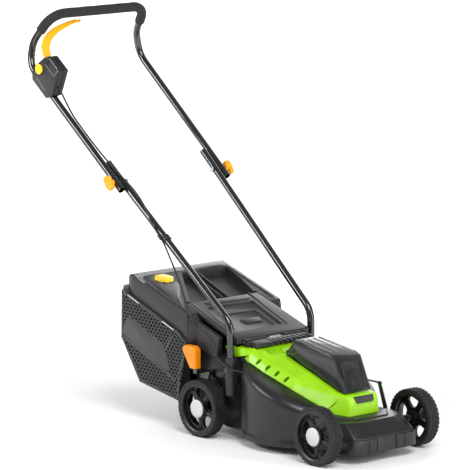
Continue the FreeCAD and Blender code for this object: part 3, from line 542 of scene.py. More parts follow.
# ---- studio ---------------------------------------------------------------------
@dataclass
class Studio:
    """Camera, floor and soft lights."""

    azimuth: float = 48.47
    elevation: float = 9.60
    distance: float = 9.614
    target: Point = (0.0227, 0.0, 0.5049)
    lens: float = 280.2
    floor_size: float = 36.0
    room_light: float = 0.42
    room_white: float = 3.0

    def camera(self) -> None:
        """Stands the camera at the viewing angle."""
        turn, rise = math.radians(self.azimuth), math.radians(self.elevation)
        back = Vector((math.sin(turn) * math.cos(rise), -math.cos(turn) * math.cos(rise),
                       math.sin(rise)))
        data = bpy.data.cameras.new("camera")
        data.lens = self.lens
        data.sensor_width = 36.0
        data.clip_start, data.clip_end = 0.1, 100.0
        camera = stood("camera", data)
        camera.location = Vector(self.target) + back * self.distance
        camera.rotation_mode = "QUATERNION"
        camera.rotation_quaternion = (-back).to_track_quat("-Z", "Y")
        bpy.context.scene.camera = camera

    def floor(self) -> None:
        """Lays the pale floor, whose painted glow brightens outwards, and stands the white
        backdrop.
        """
        p = Paint("floor")
        # Painted glow: the floor's emission is off near the mower and rises to full farther out.
        away = p.add("ShaderNodeVectorMath", {"operation": "LENGTH"}, p.place()).between(0.5, 2.6)
        tone = p.mix(p.noise(1.5, 3.0), (0.88, 0.88, 0.88), (0.91, 0.91, 0.91))
        painted_glow = p.mix(away, (0.0, 0.0, 0.0), (1.0, 1.0, 1.0))
        self.sheet("floor", Matrix.Identity(4), p.surface(
            Base_Color=tone, Roughness=0.7, Emission_Color=painted_glow, Emission_Strength=0.8))
        q = Paint("backdrop")
        soft = q.mix(q.noise(0.4, 2.0), (0.98, 0.98, 0.98), (1.0, 1.0, 1.0))
        turn = math.radians(self.azimuth)
        back = Vector((-math.sin(turn), math.cos(turn), 0.0)) * (self.floor_size / 2 - 2)
        stand = Matrix.Translation(back) @ Matrix.Rotation(turn, 4, "Z") @ Matrix.Rotation(
            math.radians(90), 4, "X")
        self.sheet("backdrop", stand, q.surface(
            Base_Color=(0.1, 0.1, 0.1, 1.0), Emission_Color=soft, Emission_Strength=1.05))

    def sheet(self, name: str, place: Matrix, finish: bpy.types.Material) -> None:
        """One flat square of the studio.

        Args:
            name: The square's name.
            place: Where the square lies.
            finish: Its material.
        """
        bm = bmesh.new()
        bmesh.ops.create_grid(bm, x_segments=1, y_segments=1, size=self.floor_size / 2,
                              matrix=place)
        mesh = bpy.data.meshes.new(name)
        bm.to_mesh(mesh)
        bm.free()
        mesh.materials.append(finish)
        stood(name, mesh)

    def light(self, name: str, at: Point, toward: Point, size: Flat, power: float) -> None:
        """Hangs one soft box.

        Args:
            name: The light's name.
            at: Its place in metres.
            toward: The point that it faces.
            size: Width and height.
            power: Watts.
        """
        data = bpy.data.lights.new(name, "AREA")
        data.shape = "RECTANGLE"
        data.size, data.size_y = size
        data.energy = power
        lamp = stood(name, data)
        lamp.location = at
        aim = (Vector(toward) - Vector(at)).normalized()
        lamp.rotation_mode = "QUATERNION"
        lamp.rotation_quaternion = aim.to_track_quat("-Z", "Y")

    def lights(self) -> None:
        """Hangs the lights and fills the room with pale light, white to the camera."""
        middle = (0.0, 0.0, 0.35)
        self.light("key", (2.8, -1.2, 3.6), middle, (2.0, 2.0), 125)
        self.light("side", (-1.6, -3.4, 2.2), middle, (2.4, 0.8), 95)
        self.light("front", (4.2, 1.2, 1.4), middle, (0.7, 2.2), 60)
        self.light("rear", (-2.2, 3.4, 1.6), middle, (2.6, 1.4), 26)
        world = bpy.data.worlds.new("room")
        world.use_nodes = True
        tree = world.node_tree
        room = tree.nodes["Background"].inputs
        room["Color"].default_value = (1, 1, 1, 1)
        seen = tree.nodes.new("ShaderNodeLightPath")
        strength = tree.nodes.new("ShaderNodeMath")
        strength.operation = "MULTIPLY_ADD"
        strength.inputs[1].default_value = self.room_white
        strength.inputs[2].default_value = self.room_light
        tree.links.new(seen.outputs["Is Camera Ray"], strength.inputs[0])
        tree.links.new(strength.outputs["Value"], room["Strength"])
        bpy.context.scene.world = world
        bpy.context.scene.view_settings.view_transform = "Standard"
        bpy.context.scene.view_settings.look = "None"


# ---- shaping ----------------------------------------------------------------------
CREASE = 28.0


class Form:
    """A closed shape in the making, in millimetres from the front axle."""

    def __init__(self) -> None:
        """Starts empty, with new faces in the first finish."""
        self.bm = bmesh.new()
        self.ink = 0

    def _ring(self, points: Iterable[Sequence[float]]) -> list[bmesh.types.BMVert]:
        """Adds one vertex for each point."""
        return [self.bm.verts.new(point) for point in points]

    def all(self) -> list:
        """Every vertex, edge and face."""
        return self.bm.verts[:] + self.bm.edges[:] + self.bm.faces[:]

    def _settle(self, known: set, soft: float = 0.0, segments: int = 2,
                angle: float = CREASE) -> None:
        """Turns new faces outwards, gives them the finish and softens their edges.

        Args:
            known: The faces that were there before.
            soft: Width of the bevel, or 0 for none.
            segments: Steps of the bevel.
            angle: Least angle of an edge that is softened, in degrees.
        """
        fresh = [face for face in self.bm.faces if face not in known]
        bmesh.ops.recalc_face_normals(self.bm, faces=fresh)
        for face in fresh:
            face.material_index = self.ink
        if soft:
            self.soften(soft, segments, angle, {edge for face in fresh for edge in face.edges})

    def soften(self, width: float, segments: int = 2, angle: float = CREASE,
               edges: Optional[set[bmesh.types.BMEdge]] = None) -> None:
        """Bevels the sharp edges.

        Args:
            width: Width of the bevel.
            segments: Steps of the bevel.
            angle: Least angle of an edge that is softened, in degrees.
            edges: The edges to look at, or every edge.
        """
        sharp = [edge for edge in self.bm.edges if (edges is None or edge in edges)
                 and len(edge.link_faces) == 2
                 and edge.calc_face_angle(0.0) > math.radians(angle)]
        if sharp:
            self.bevel(sharp, width, segments)

    def bevel(self, edges: Sequence[bmesh.types.BMEdge], width: float, segments: int) -> None:
        """Rounds these edges.

        Args:
            edges: The edges.
            width: Width of the bevel.
            segments: Steps of the bevel.
        """
        bmesh.ops.bevel(self.bm, geom=edges, offset=width, offset_type="OFFSET",
                        segments=segments, profile=0.5, affect="EDGES", clamp_overlap=True,
                        material=-1)

    def extruded(self, outline: Sequence[Flat], low: float, high: float, across: Axis = Axis.Y,
                 soft: float = 0.0, segments: int = 2) -> "Form":
        """Adds a closed outline pushed straight across.

        Args:
            outline: Corners, as (x, z) across Y, (x, y) across Z or (y, z) across X.
            low: Where it starts.
            high: Where it ends.
            across: The axis of the push.
            soft: Width of the bevel on its edges.
            segments: Steps of the bevel.

        Returns:
            This form.
        """
        known = set(self.bm.faces)
        base = self.bm.faces.new(self._ring(across.point(u, v, low) for u, v in outline))
        made = bmesh.ops.extrude_face_region(self.bm, geom=[base])
        moved = [item for item in made["geom"] if isinstance(item, bmesh.types.BMVert)]
        bmesh.ops.translate(self.bm, verts=moved, vec=Vector(across.point(0, 0, high - low)))
        self._close_base(known)
        self._settle(known, soft, segments)
        return self

    def _close_base(self, known: set) -> None:
        """Puts back the first face where the push opened the shape.

        Args:
            known: The faces that were there before.
        """
        rims = [edge for edge in self.bm.edges
                if len(edge.link_faces) == 1 and edge.link_faces[0] not in known]
        if rims:
            bmesh.ops.holes_fill(self.bm, edges=rims, sides=0)

    def paired(self, outline: Sequence[Flat], near: float, far: float, soft: float = 0.0) -> "Form":
        """Adds an (x, z) outline pushed across Y on both hands.

        Args:
            outline: Its corners.
            near: Distance of one side from the middle plane.
            far: Distance of the other side.
            soft: Width of the bevel on its edges.

        Returns:
            This form.
        """
        for hand in (-1, 1):
            low, high = sorted((hand * near, hand * far))
            self.extruded(outline, low, high, soft=soft)
        return self

    def lofted(self, rings: Sequence[Sequence[Sequence[float]]], soft: float = 0.0,
               segments: int = 2, angle: float = CREASE) -> "Form":
        """Adds a solid through closed rings of equal count.

        Args:
            rings: The rings, each a list of points.
            soft: Width of the bevel on its edges.
            segments: Steps of the bevel.
            angle: Least angle of an edge that is softened, in degrees.

        Returns:
            This form.
        """
        known = set(self.bm.faces)
        loops = []
        for ring in rings:
            verts = self._ring(ring)
            edges = [self.bm.edges.new((a, b)) for a, b in zip(verts, verts[1:] + verts[:1])]
            loops.append((verts, edges))
        for (_, first), (_, second) in zip(loops, loops[1:]):
            bmesh.ops.bridge_loops(self.bm, edges=first + second)
        self.bm.faces.new(loops[0][0])
        self.bm.faces.new(loops[-1][0])
        self._settle(known, soft, segments, angle)
        return self

    def turned(self, profile: Sequence[Flat], centre: Point, axis: Axis = Axis.Y, steps: int = 48,
               closed: bool = False, soft: float = 0.0) -> "Form":
        """Adds a profile turned about an axis.

        Args:
            profile: (radius, place along the axis) pairs.
            centre: A point on the axis.
            axis: The axis of the turn.
            steps: Faces round the turn.
            closed: True if the profile's end joins its start.
            soft: Width of the bevel on its edges.

        Returns:
            This form.
        """
        known = set(self.bm.faces)
        start = Vector(centre)
        verts = self._ring(start + Vector(axis.point(r, 0, a)) for r, a in profile)
        ends = verts[1:] + verts[:1] if closed else verts[1:]
        edges = [self.bm.edges.new(pair) for pair in zip(verts, ends)]
        bmesh.ops.spin(self.bm, geom=verts + edges, cent=start, axis=axis.value, dvec=(0, 0, 0),
                       angle=math.tau, steps=steps, use_merge=True, use_duplicate=False)
        fresh = {vert for face in self.bm.faces if face not in known for vert in face.verts}
        bmesh.ops.remove_doubles(self.bm, verts=[vert for vert in self.bm.verts if vert in fresh],
                                 dist=0.001)
        self._settle(known, soft)
        return self

    def ball(self, centre: Point, radii: Point, turn: float = 0.0) -> "Form":
        """Adds an ellipsoid, turned in degrees about Y.

        Args:
            centre: Its middle.
            radii: Its three radii.
            turn: The turn about Y in degrees.

        Returns:
            The form.
        """
        known = set(self.bm.faces)
        place = (Matrix.Translation(centre) @ Matrix.Rotation(math.radians(turn), 4, "Y")
                 @ Matrix.Diagonal((*radii, 1.0)))
        bmesh.ops.create_uvsphere(self.bm, u_segments=20, v_segments=12, radius=1.0, matrix=place)
        self._settle(known)
        return self

    def block(self, low: Point, high: Point, soft: float = 0.0, segments: int = 2,
              turn: Optional[Matrix] = None) -> "Form":
        """Adds a box between two corners.

        Args:
            low: Lowest corner.
            high: Highest corner.
            soft: Width of the bevel on its edges.
            segments: Steps of the bevel.
            turn: A rotation about the box's middle.

        Returns:
            This form.
        """
        known = set(self.bm.faces)
        size = Vector(high) - Vector(low)
        place = (Matrix.Translation((Vector(low) + Vector(high)) / 2)
                 @ (turn or Matrix.Identity(4)) @ Matrix.Diagonal((*size, 1.0)))
        bmesh.ops.create_cube(self.bm, size=1.0, matrix=place)
        self._settle(known, soft, segments)
        return self

    def node(self, name: str) -> "Form":
        """Adds a merged copy of a CAD node's mesh.

        Args:
            name: The CAD node's name.

        Returns:
            The form.
        """
        known = set(self.bm.faces)
        whole = Form().take(frame["nodes"][name].data.copy()).moved(TO_FRAME.inverted())
        bmesh.ops.remove_doubles(whole.bm, verts=whole.bm.verts, dist=0.003)
        bmesh.ops.dissolve_limit(whole.bm, angle_limit=math.radians(0.6), verts=whole.bm.verts,
                                 edges=whole.bm.edges, use_dissolve_boundaries=False)
        self.join(whole)
        self._settle(known)
        return self

    def moved(self, matrix: Matrix) -> "Form":
        """Moves, turns or scales the whole form."""
        bmesh.ops.transform(self.bm, matrix=matrix, verts=self.bm.verts)
        return self

    def join(self, other: "Form") -> "Form":
        """Adds another form's faces and lets it go."""
        return self.take(other.mesh())

    def take(self, mesh: bpy.types.Mesh) -> "Form":
        """Adds a mesh's faces and removes the mesh.

        Args:
            mesh: The mesh.

        Returns:
            The form.
        """
        self.bm.from_mesh(mesh)
        bpy.data.meshes.remove(mesh)
        return self

    def mirrored(self) -> "Form":
        """Adds the other hand of everything, across the middle plane.

        Returns:
            The form.
        """
        bmesh.ops.mirror(self.bm, geom=self.all(), matrix=Matrix.Identity(4), axis="Y",
                         merge_dist=0.0001)
        bmesh.ops.recalc_face_normals(self.bm, faces=self.bm.faces)
        return self

    def handed(self, side: int) -> "Form":
        """Turns a left form into a right one where side is -1.

        Args:
            side: 1 for left or -1 for right.

        Returns:
            The form.
        """
        if side < 0:
            self.moved(Matrix.Diagonal((1, -1, 1, 1)))
            bmesh.ops.reverse_faces(self.bm, faces=self.bm.faces)
        return self

    def mesh(self) -> bpy.types.Mesh:
        """The form as a mesh; the form is let go.

        Returns:
            The mesh.
        """
        mesh = bpy.data.meshes.new("form")
        self.bm.to_mesh(mesh)
        self.bm.free()
        return mesh

    def carve(self, cutter: "Form", kind: Cut = Cut.AWAY, tangled: bool = False) -> "Form":
        """Cuts another closed form out of this one, or keeps what they share.

        Args:
            cutter: The form that cuts; it is let go.
            kind: What is left.
            tangled: True where a form crosses itself.

        Returns:
            This form.
        """
        target, tool = (stood("shaping", form.mesh()) for form in (self, cutter))
        modifier = target.modifiers.new("carve", "BOOLEAN")
        modifier.operation = kind.value
        modifier.object = tool
        modifier.solver = "EXACT"
        modifier.use_self = tangled
        made = evaluated(target)
        self.bm = bmesh.new()
        self.take(made)
        for thing in (target, tool):
            mesh = thing.data
            bpy.data.objects.remove(thing)
            bpy.data.meshes.remove(mesh)
        return self

    def finish(self, name: str, body: str, finishes: Sequence[bpy.types.Material],
               stands_for: Sequence[str] = (), smooth: float = 34.0) -> bpy.types.Object:
        """Makes the piece and ties it to its body.

        Args:
            name: The piece's name.
            body: The CAD body that it rides on.
            finishes: Its materials, the first of which names its slot.
            stands_for: The CAD nodes that it replaces.
            smooth: Edges up to this angle shade smoothly, in degrees.

        Returns:
            The object.
        """
        bmesh.ops.transform(self.bm, matrix=TO_FRAME, verts=self.bm.verts)
        mesh = bpy.data.meshes.new(name)
        self.bm.to_mesh(mesh)
        self.bm.free()
        for finish in finishes:
            mesh.materials.append(finish)
        mesh.polygons.foreach_set("use_smooth", [True] * len(mesh.polygons))
        mesh.set_sharp_from_angle(angle=math.radians(smooth))
        piece = stood(name, mesh)
        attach(piece, body)
        if stands_for:
            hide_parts(*stands_for)
        LOG.info("%s rides on %s, %d faces", name, body, len(mesh.polygons))
        return piece


# ---- wheels -----------------------------------------------------------------------
@dataclass
class SubAssembly:
    """A group of pieces that is built together, out of the stock of finishes."""

    stock: Stock


@dataclass
class RoadWheel(SubAssembly):
    """One moulded wheel: block-tread tyre, five-spoke rim and white cap."""

    end: str
    hand: str
    tread_depth: float = 1.5
    blocks: int = 40
    rim_radius: float = 64.0
    bead_radius: float = 56.5
    hub_radius: float = 17.0
    spokes: int = 5
    window: tuple[Flat, ...] = ((28, -17), (34, -22), (46, -24), (52.5, -20), (54.5, 0),
                                (52.5, 20), (46, 24), (34, 22), (28, 17), (26, 0))

    def __post_init__(self) -> None:
        """Reads the wheel's place from its CAD tyre."""
        self.place = "%s_%s" % (self.end, self.hand)
        low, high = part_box("tyre_" + self.place)
        self.side = 1 if low.y + high.y > 0 else -1
        self.inner, self.outer = sorted((abs(low.y) / MM, abs(high.y) / MM))
        self.radius = (high.z - low.z) / 2 / MM
        self.x = (low.x + high.x) / 2 / MM - FRONT_AXLE_X
        self.centre = (self.x, 0.0, self.radius)

    def fit(self, form: Form, name: str, stands_for: str, finish: str,
            smooth: float = 34.0) -> None:
        """Turns a left piece to the wheel's hand and ties it to the wheel.

        Args:
            form: The piece.
            name: The first word of its name.
            stands_for: The first words of the CAD node that it replaces.
            finish: The name of its finish.
            smooth: Edges up to this angle shade smoothly, in degrees.
        """
        form.handed(self.side).finish("%s_%s" % (name, self.place), "wheel_" + self.place,
                                      [self.stock[finish]],
                                      ["%s_%s" % (stands_for, self.place)], smooth)

    def tread_block(self, t0: float, y0: float, t1: float, y1: float, width: float) -> Form:
        """One block of the tread, skewed from (t0, y0) to (t1, y1) round the tyre.

        Args:
            t0: Place round the tyre of its outer end, in millimetres.
            y0: Place across the tyre of its outer end.
            t1: Place round the tyre of its inner end.
            y1: Place across the tyre of its inner end.
            width: Length of the block round the tyre.

        Returns:
            The block at the top of the tyre.
        """
        base = self.radius - self.tread_depth - 0.4
        top = self.radius - 0.06
        plan = ((t0, y0), (t0 + width, y0), (t1 + width, y1), (t1, y1))
        rings = [[(self.x + r * math.sin(t / top), y, self.radius + r * math.cos(t / top))
                  for t, y in plan] for r in (base, top)]
        return Form().lofted(rings)

    def tyre(self) -> None:
        """Builds the tyre with its tread and shoulder ribs."""
        y0, y1 = self.inner, self.outer
        floor = self.radius - self.tread_depth
        profile = [(self.rim_radius, y0), (70, y0 - 0.4), (floor - 0.6, y0 + 0.1),
                   (floor, y0 + 1.6), (floor, y1 - 1.6), (floor - 0.6, y1 - 0.1),
                   (70, y1 + 0.4), (67.5, y1 + 0.4), (66.8, y1), (self.rim_radius, y1)]
        form = Form().turned(profile, self.centre, steps=80, closed=True)
        pitch = math.tau * self.radius / self.blocks
        middle = (y0 + y1) / 2
        blocks = Form()
        for t0, a, t1, b, wide in ((0.0, y0 + 0.4, 3.4, y0 + 9.0, pitch * 0.62),
                                   (4.2, y0 + 10.4, -1.4, middle - 0.7, pitch * 0.58),
                                   (1.6, middle + 0.7, 6.6, y1 - 10.4, pitch * 0.58),
                                   (5.6, y1 - 9.0, 2.0, y1 - 0.4, pitch * 0.62)):
            blocks.join(self.tread_block(t0, a, t1, b, wide))
        bmesh.ops.recalc_face_normals(blocks.bm, faces=blocks.bm.faces)
        bmesh.ops.spin(blocks.bm, geom=blocks.all(), cent=self.centre, axis=Axis.Y.value,
                       dvec=(0, 0, 0), angle=math.tau * (1 - 1 / self.blocks),
                       steps=self.blocks - 1, use_duplicate=True)
        self.fit(form.join(blocks), "tread", "tyre", "tyre_rubber")

    def rim(self) -> None:
        """Builds the rim: outer ring, dished web with five windows, spokes and hub."""
        y0, y1 = self.inner, self.outer
        r0, r1 = self.bead_radius, self.rim_radius
        form = Form().turned([(r0, y0), (r1, y0), (r1, y1), (r1 - 2.5, y1 + 0.4),
                              (r0 + 1.5, y1 - 1.4), (r0, y1 - 5)], self.centre, steps=72,
                             closed=True)
        web = Form().turned([(15, y1 - 11), (24, y1 - 12), (40, y1 - 15), (r0 + 1, y1 - 14),
                             (r0 + 1, y1 - 23), (15, y1 - 22)], self.centre, steps=72, closed=True)
        windows = Form()
        gap = 360 / self.spokes
        for spoke in range(self.spokes):
            outline = []
            for radius, swing in self.window:
                at = math.radians(90 + gap * spoke) + math.radians(swing)
                outline.append((self.x + radius * math.cos(at),
                                self.radius + radius * math.sin(at)))
            windows.extruded(outline, y0 - 5, y1 + 5)
        web.carve(windows)
        web.soften(1.3, 2, 40.0)
        form.join(web)
        about = Matrix.Translation(self.centre)
        for spoke in range(self.spokes):
            ridge = Form().lofted([
                [(self.x - foot, y1 - deep, self.radius + reach),
                 (self.x + foot, y1 - deep, self.radius + reach),
                 (self.x + crest, y1 - shallow, self.radius + reach),
                 (self.x - crest, y1 - shallow, self.radius + reach)]
                for reach, foot, deep, crest, shallow in ((15, 5.5, 13, 2.2, 5.5),
                                                          (r0 + 1, 8.5, 16, 3.5, 12.5))], soft=1.4)
            spin = Matrix.Rotation(math.radians(gap / 2 + gap * spoke), 4, "Y")
            form.join(ridge.moved(about @ spin @ about.inverted()))
        hub = Form().turned([(6.5, y0 + 1), (self.hub_radius, y0 + 1), (self.hub_radius, y1 - 9),
                             (25, y1 - 7.5), (26, y1 - 5), (24.6, y1 - 3.4), (22, y1 - 3.6),
                             (6.5, y1 - 3.6)], self.centre, closed=True)
        self.fit(form.join(hub), "rim", "rim", "wheel_plastic", 30)

    def cap(self) -> None:
        """Builds the shallow domed cap with its moulded ring."""
        y1 = self.outer + 1
        profile = [(0, y1 + 2.6), (8, y1 + 2.5), (16, y1 + 2.1), (16.6, y1 + 1.7), (17.6, y1 + 1.7),
                   (18.2, y1 + 2.0), (21.5, y1 + 1.3), (23.4, y1 + 0.2), (24, y1 - 1.2),
                   (23.6, y1 - 2.4), (0, y1 - 2.4)]
        self.fit(Form().turned(profile, self.centre), "cap", "hub_cap", "white_cap", 25)

    def build(self) -> None:
        """Builds the whole wheel."""
        self.tyre()
        self.rim()
        self.cap()


# ---- deck ---------------------------------------------------------------------------
@dataclass
class Deck(SubAssembly):
    """Deck moulding: round volute wall, stepped bumper and rear tunnel."""

    centre_x: float = -215.0
    radius: float = 176.0
    chamber: Point = (-224.0, 0.0, 96.0)
    chamber_radius: float = 163.0
    bottom: float = 20.0
    slope: float = 0.37
    bumper_low: tuple[Flat, ...] = ((-170, 121), (36, 121), (69, 108), (76, 88))
    bumper_top: tuple[Flat, ...] = ((-170, 108), (6, 108), (26, 97), (40, 54))
    steps: int = 96
    rib_angles: tuple[float, ...] = (35, 80, 125, 235, 280, 325)

    def shoulder(self, x: float) -> float:
        """Height of the sloping shoulder."""
        return 114.0 + self.slope * (-60.0 - x)

    def wall_ring(self, radius: float, low: Optional[float], drop: float = 0.0) -> list[Point]:
        """One ring of the volute wall.

        Args:
            radius: The ring's radius.
            low: Its height, or None to follow the shoulder.
            drop: How far it lies under the shoulder.

        Returns:
            The ring's points.
        """
        ring = []
        for i in range(self.steps):
            at = math.tau * i / self.steps
            x = self.centre_x + radius * math.cos(at)
            edge = self.centre_x + self.radius * math.cos(at)
            z = low if low is not None else self.shoulder(edge if drop > 3 else x) - drop
            ring.append((x, radius * math.sin(at), z))
        return ring

    def volute(self) -> Form:
        """The round wall with its lip, bead and rounded shoulder.

        Returns:
            The form.
        """
        r = self.radius
        rings = [self.wall_ring(r + out, low) for out, low in
                 ((3.4, self.bottom), (3.4, 33), (2.6, 35.4), (0.4, 36.2), (0, 38.5), (0, 60))]
        for inset, drop in ((0.0, 24.0), (0.8, 16.0), (3.0, 10.0), (7.0, 5.2), (13.0, 1.9),
                            (20.0, 0.3), (34.0, 0.0), (120.0, 0.0)):
            rings.append(self.wall_ring(r - inset, None, drop))
        form = Form().lofted(rings)
        well = Form().extruded([(-343, 101), (-45, 101), (-45, 400), (-343, 400)], -70, 70)
        return form.carve(well, tangled=True)

    def bumper(self) -> Form:
        """The stepped front bumper with a faceted hood.

        Returns:
            The form.
        """
        def ring(half: Sequence[Flat], z: float, grow: float = 0.0) -> list[Point]:
            """One level of the bumper.

            Args:
                half: Half of the outline, as (x, y).
                z: Height of the level.
                grow: How far the front grows.

            Returns:
                The points.
            """
            right = [(x + (grow if x > 30 else 0), -y - grow, z) for x, y in half]
            left = [(x + (grow if x > 30 else 0), y + grow, z) for x, y in reversed(half)]
            return right + left
        form = Form().lofted([ring(self.bumper_low, 24), ring(self.bumper_low, 62)], soft=2.2,
                             segments=3)
        form.carve(Form().block((73.8, -31, 20), (90, 31, 70), soft=0.8))
        for hand in (-1, 1):
            for y in (34, 62):
                form.carve(Form().block((73.6, hand * y - 1.1, 20), (90, hand * y + 1.1, 58)))
        form.join(Form().lofted([ring(self.bumper_low, 60, -4.0), ring(self.bumper_low, 66, -4.0),
                                 ring(self.bumper_top, 100)], soft=2.0, segments=3, angle=12.0))
        form.join(Form().lofted([
            [(-120, -100, 70), (12, -100, 70), (64, -62, 66), (66, 62, 66), (12, 100, 70),
             (-120, 100, 70)],
            [(-120, -84, 113), (-20, -84, 106), (20, -50, 104), (22, 50, 104), (-20, 84, 106),
             (-120, 84, 113)],
        ], soft=1.6, segments=3, angle=12.0))
        for side in (-1, 1):
            form.block((-70, side * 118.5 - 3, 40), (34, side * 118.5 + 3, 44), soft=1.0)
        return form

    def tunnel(self) -> Form:
        """The rear tunnel towards the grass box.

        Returns:
            The form.
        """
        side = [(-300, 24), (-402, 24), (-470, 44), (-478, 46), (-506, 46), (-518, 60),
                (-524, 112), (-524, 222), (-440, 236), (-372, 242), (-300, 200)]
        air = [(-290, 10), (-378, 10), (-398, 40), (-520, 108), (-540, 112), (-540, 300),
               (-376, 300), (-362, 236), (-352, 120), (-340, 96), (-290, 96)]
        form = Form().extruded(side, -120, 120, soft=3.0)
        return form.carve(Form().extruded(air, -115, 115))

    def build(self) -> None:
        """Builds the deck and opens its chamber from below."""
        x, y, top = self.chamber
        form = Form()
        for part in (self.volute(), self.bumper(), self.tunnel()):
            room = Form().turned([(0, 0), (self.chamber_radius, 0), (self.chamber_radius, top - 8),
                                  (self.chamber_radius - 6, top), (0, top)], (x, y, 0.0),
                                 Axis.Z, 72)
            form.join(part.carve(room, tangled=True))
        for angle in self.rib_angles:
            reach = (Matrix.Translation((self.centre_x, 0, 0))
                     @ Matrix.Rotation(math.radians(angle), 4, "Z"))
            form.join(Form().block((self.radius - 11, -1.6, 22), (self.radius + 1.5, 1.6, 40),
                                   soft=0.8).moved(reach))
        form.finish("deck_moulding", "mower", [self.stock["deck_plastic"]], ["deck"], smooth=30)


# ---- motor cover, battery and lid ---------------------------------------------------
@dataclass
class MotorCover(SubAssembly):
    """Green cover with raised side panels, slanted vents, pockets and a battery bay."""

    sections: tuple[tuple, ...] = (
        (-8, (50, 104), (47, 128), (36, 142)),
        (-16, (56, 105), (52, 150), (42, 156)),
        (-38, (64, 109), (56, 152), (49, 157)),
        (-60, (75, 114.5), (62, 154), (50, 161)),
        (-160, (97, 151.5), (86, 172), (52, 195)),
        (-264, (116, 190), (104, 211), (58, 229)),
        (-318, (120, 210.5), (112, 234), (96, 244)),
        (-368, (118, 229.5), (117, 239), (100, 245)),
    )
    vents: int = 4
    vent_front: float = -196.0
    vent_pitch: float = 30.0

    def at(self, x: float) -> list[Flat]:
        """Half section at x: foot, flank and crown as (y, z).

        Args:
            x: Place along the mower.

        Returns:
            The points.
        """
        for (x0, *first), (x1, *second) in zip(self.sections, self.sections[1:]):
            if x1 <= x <= x0:
                t = (x0 - x) / (x0 - x1)
                return [(a[0] + (b[0] - a[0]) * t, a[1] + (b[1] - a[1]) * t)
                        for a, b in zip(first, second)]
        return list(self.sections[-1 if x < self.sections[-1][0] else 0][1:])

    def ring(self, x: float) -> list[Point]:
        """Closed section at x.

        Args:
            x: Place along the mower.

        Returns:
            The points.
        """
        half = self.at(x)
        low = [(half[0][0], half[0][1] - 9.0)]
        right = [(x, -y, z) for y, z in low + half]
        return right + [(x, -y, z) for _, y, z in reversed(right)]

    def panel(self) -> Form:
        """Raised right side panel that carries the vents.

        Returns:
            The form.
        """
        rings = []
        for x, proud in ((-326, -1.0), (-316, 3.2), (-260, 3.6), (-186, 3.6), (-172, -1.2)):
            (fy, fz), (ay, az), (cy, cz) = self.at(x)
            ty, tz = ay + (cy - ay) * 0.30, az + (cz - az) * 0.30
            rings.append([(x, -(fy - 6), fz + 1), (x, -(fy + proud), fz + 2),
                          (x, -(ay + proud), az - 1), (x, -(ty + proud * 0.4), tz + proud * 0.7),
                          (x, -(ty - 6), tz - 6)])
        return Form().lofted(rings, soft=1.6, segments=3)

    def vent_cutters(self) -> Form:
        """Almond pockets along the right panel.

        Returns:
            The form.
        """
        cutters = Form()
        for i in range(self.vents):
            x = self.vent_front - self.vent_pitch * i
            ay, az = self.at(x)[1]
            cutters.ball((x, -(ay + 5.5), az - 6.5), (4.8, 8.0, 12.0), 28.0)
        return cutters

    def front_groove(self) -> Form:
        """Narrow groove down the nose's right side."""
        turn = Matrix.Rotation(math.radians(-47), 4, "Y")
        return Form().block((-96, -80, 128.8), (-12, -61.5, 131.2), turn=turn)

    def build(self) -> None:
        """Builds the cover."""
        shell = Form().lofted([self.ring(s[0]) for s in self.sections], soft=3.4, segments=3,
                              angle=16.0)
        side = Form().join(self.panel()).carve(self.vent_cutters())
        dips = self.vent_cutters()
        dips.ball((-336, -118, 225), (9.0, 5.0, 6.5), 10.0)
        dips.join(self.front_groove())
        dips.mirrored()
        side.mirrored()
        shell.carve(dips)
        shell.carve(Form().block((-256, -42, 128), (-40, 42, 320)))
        rear = Form()
        for hand in (-1, 1):
            y0, y1 = sorted((hand * 24, hand * 80))
            rear.block((-304, y0, 229), (-262, y1, 330), soft=3.0)
        shell.carve(rear)
        shell.carve(Form().extruded([(-303, 262), (-334, 229.5), (-420, 229.5), (-420, 300),
                                     (-303, 300)], -100, 100))
        form = shell.join(side)
        for outline, near, far, soft in (
                ([(-322, 226), (-340, 243), (-372, 244), (-400, 242), (-393, 225), (-360, 217)],
                 120.4, 126.5, 1.5),
                ([(-322, 226), (-338, 242), (-362, 243), (-362, 223)], 112, 121, 1.5),
                ([(-268, 224), (-250, 220), (-253.5, 240), (-264.5, 240)], 46.4, 51, 1.2),
                ([(-256, 226), (-160, 194), (-60, 160.5), (-40, 158.5), (-40, 150), (-60, 152),
                  (-160, 185), (-256, 217)], 42, 45.5, 0.8)):
            form.paired(outline, near, far, soft)
        form.finish("cover_shell", "mower", [self.stock["green_plastic"]],
                    ["motor_cover"], smooth=32)


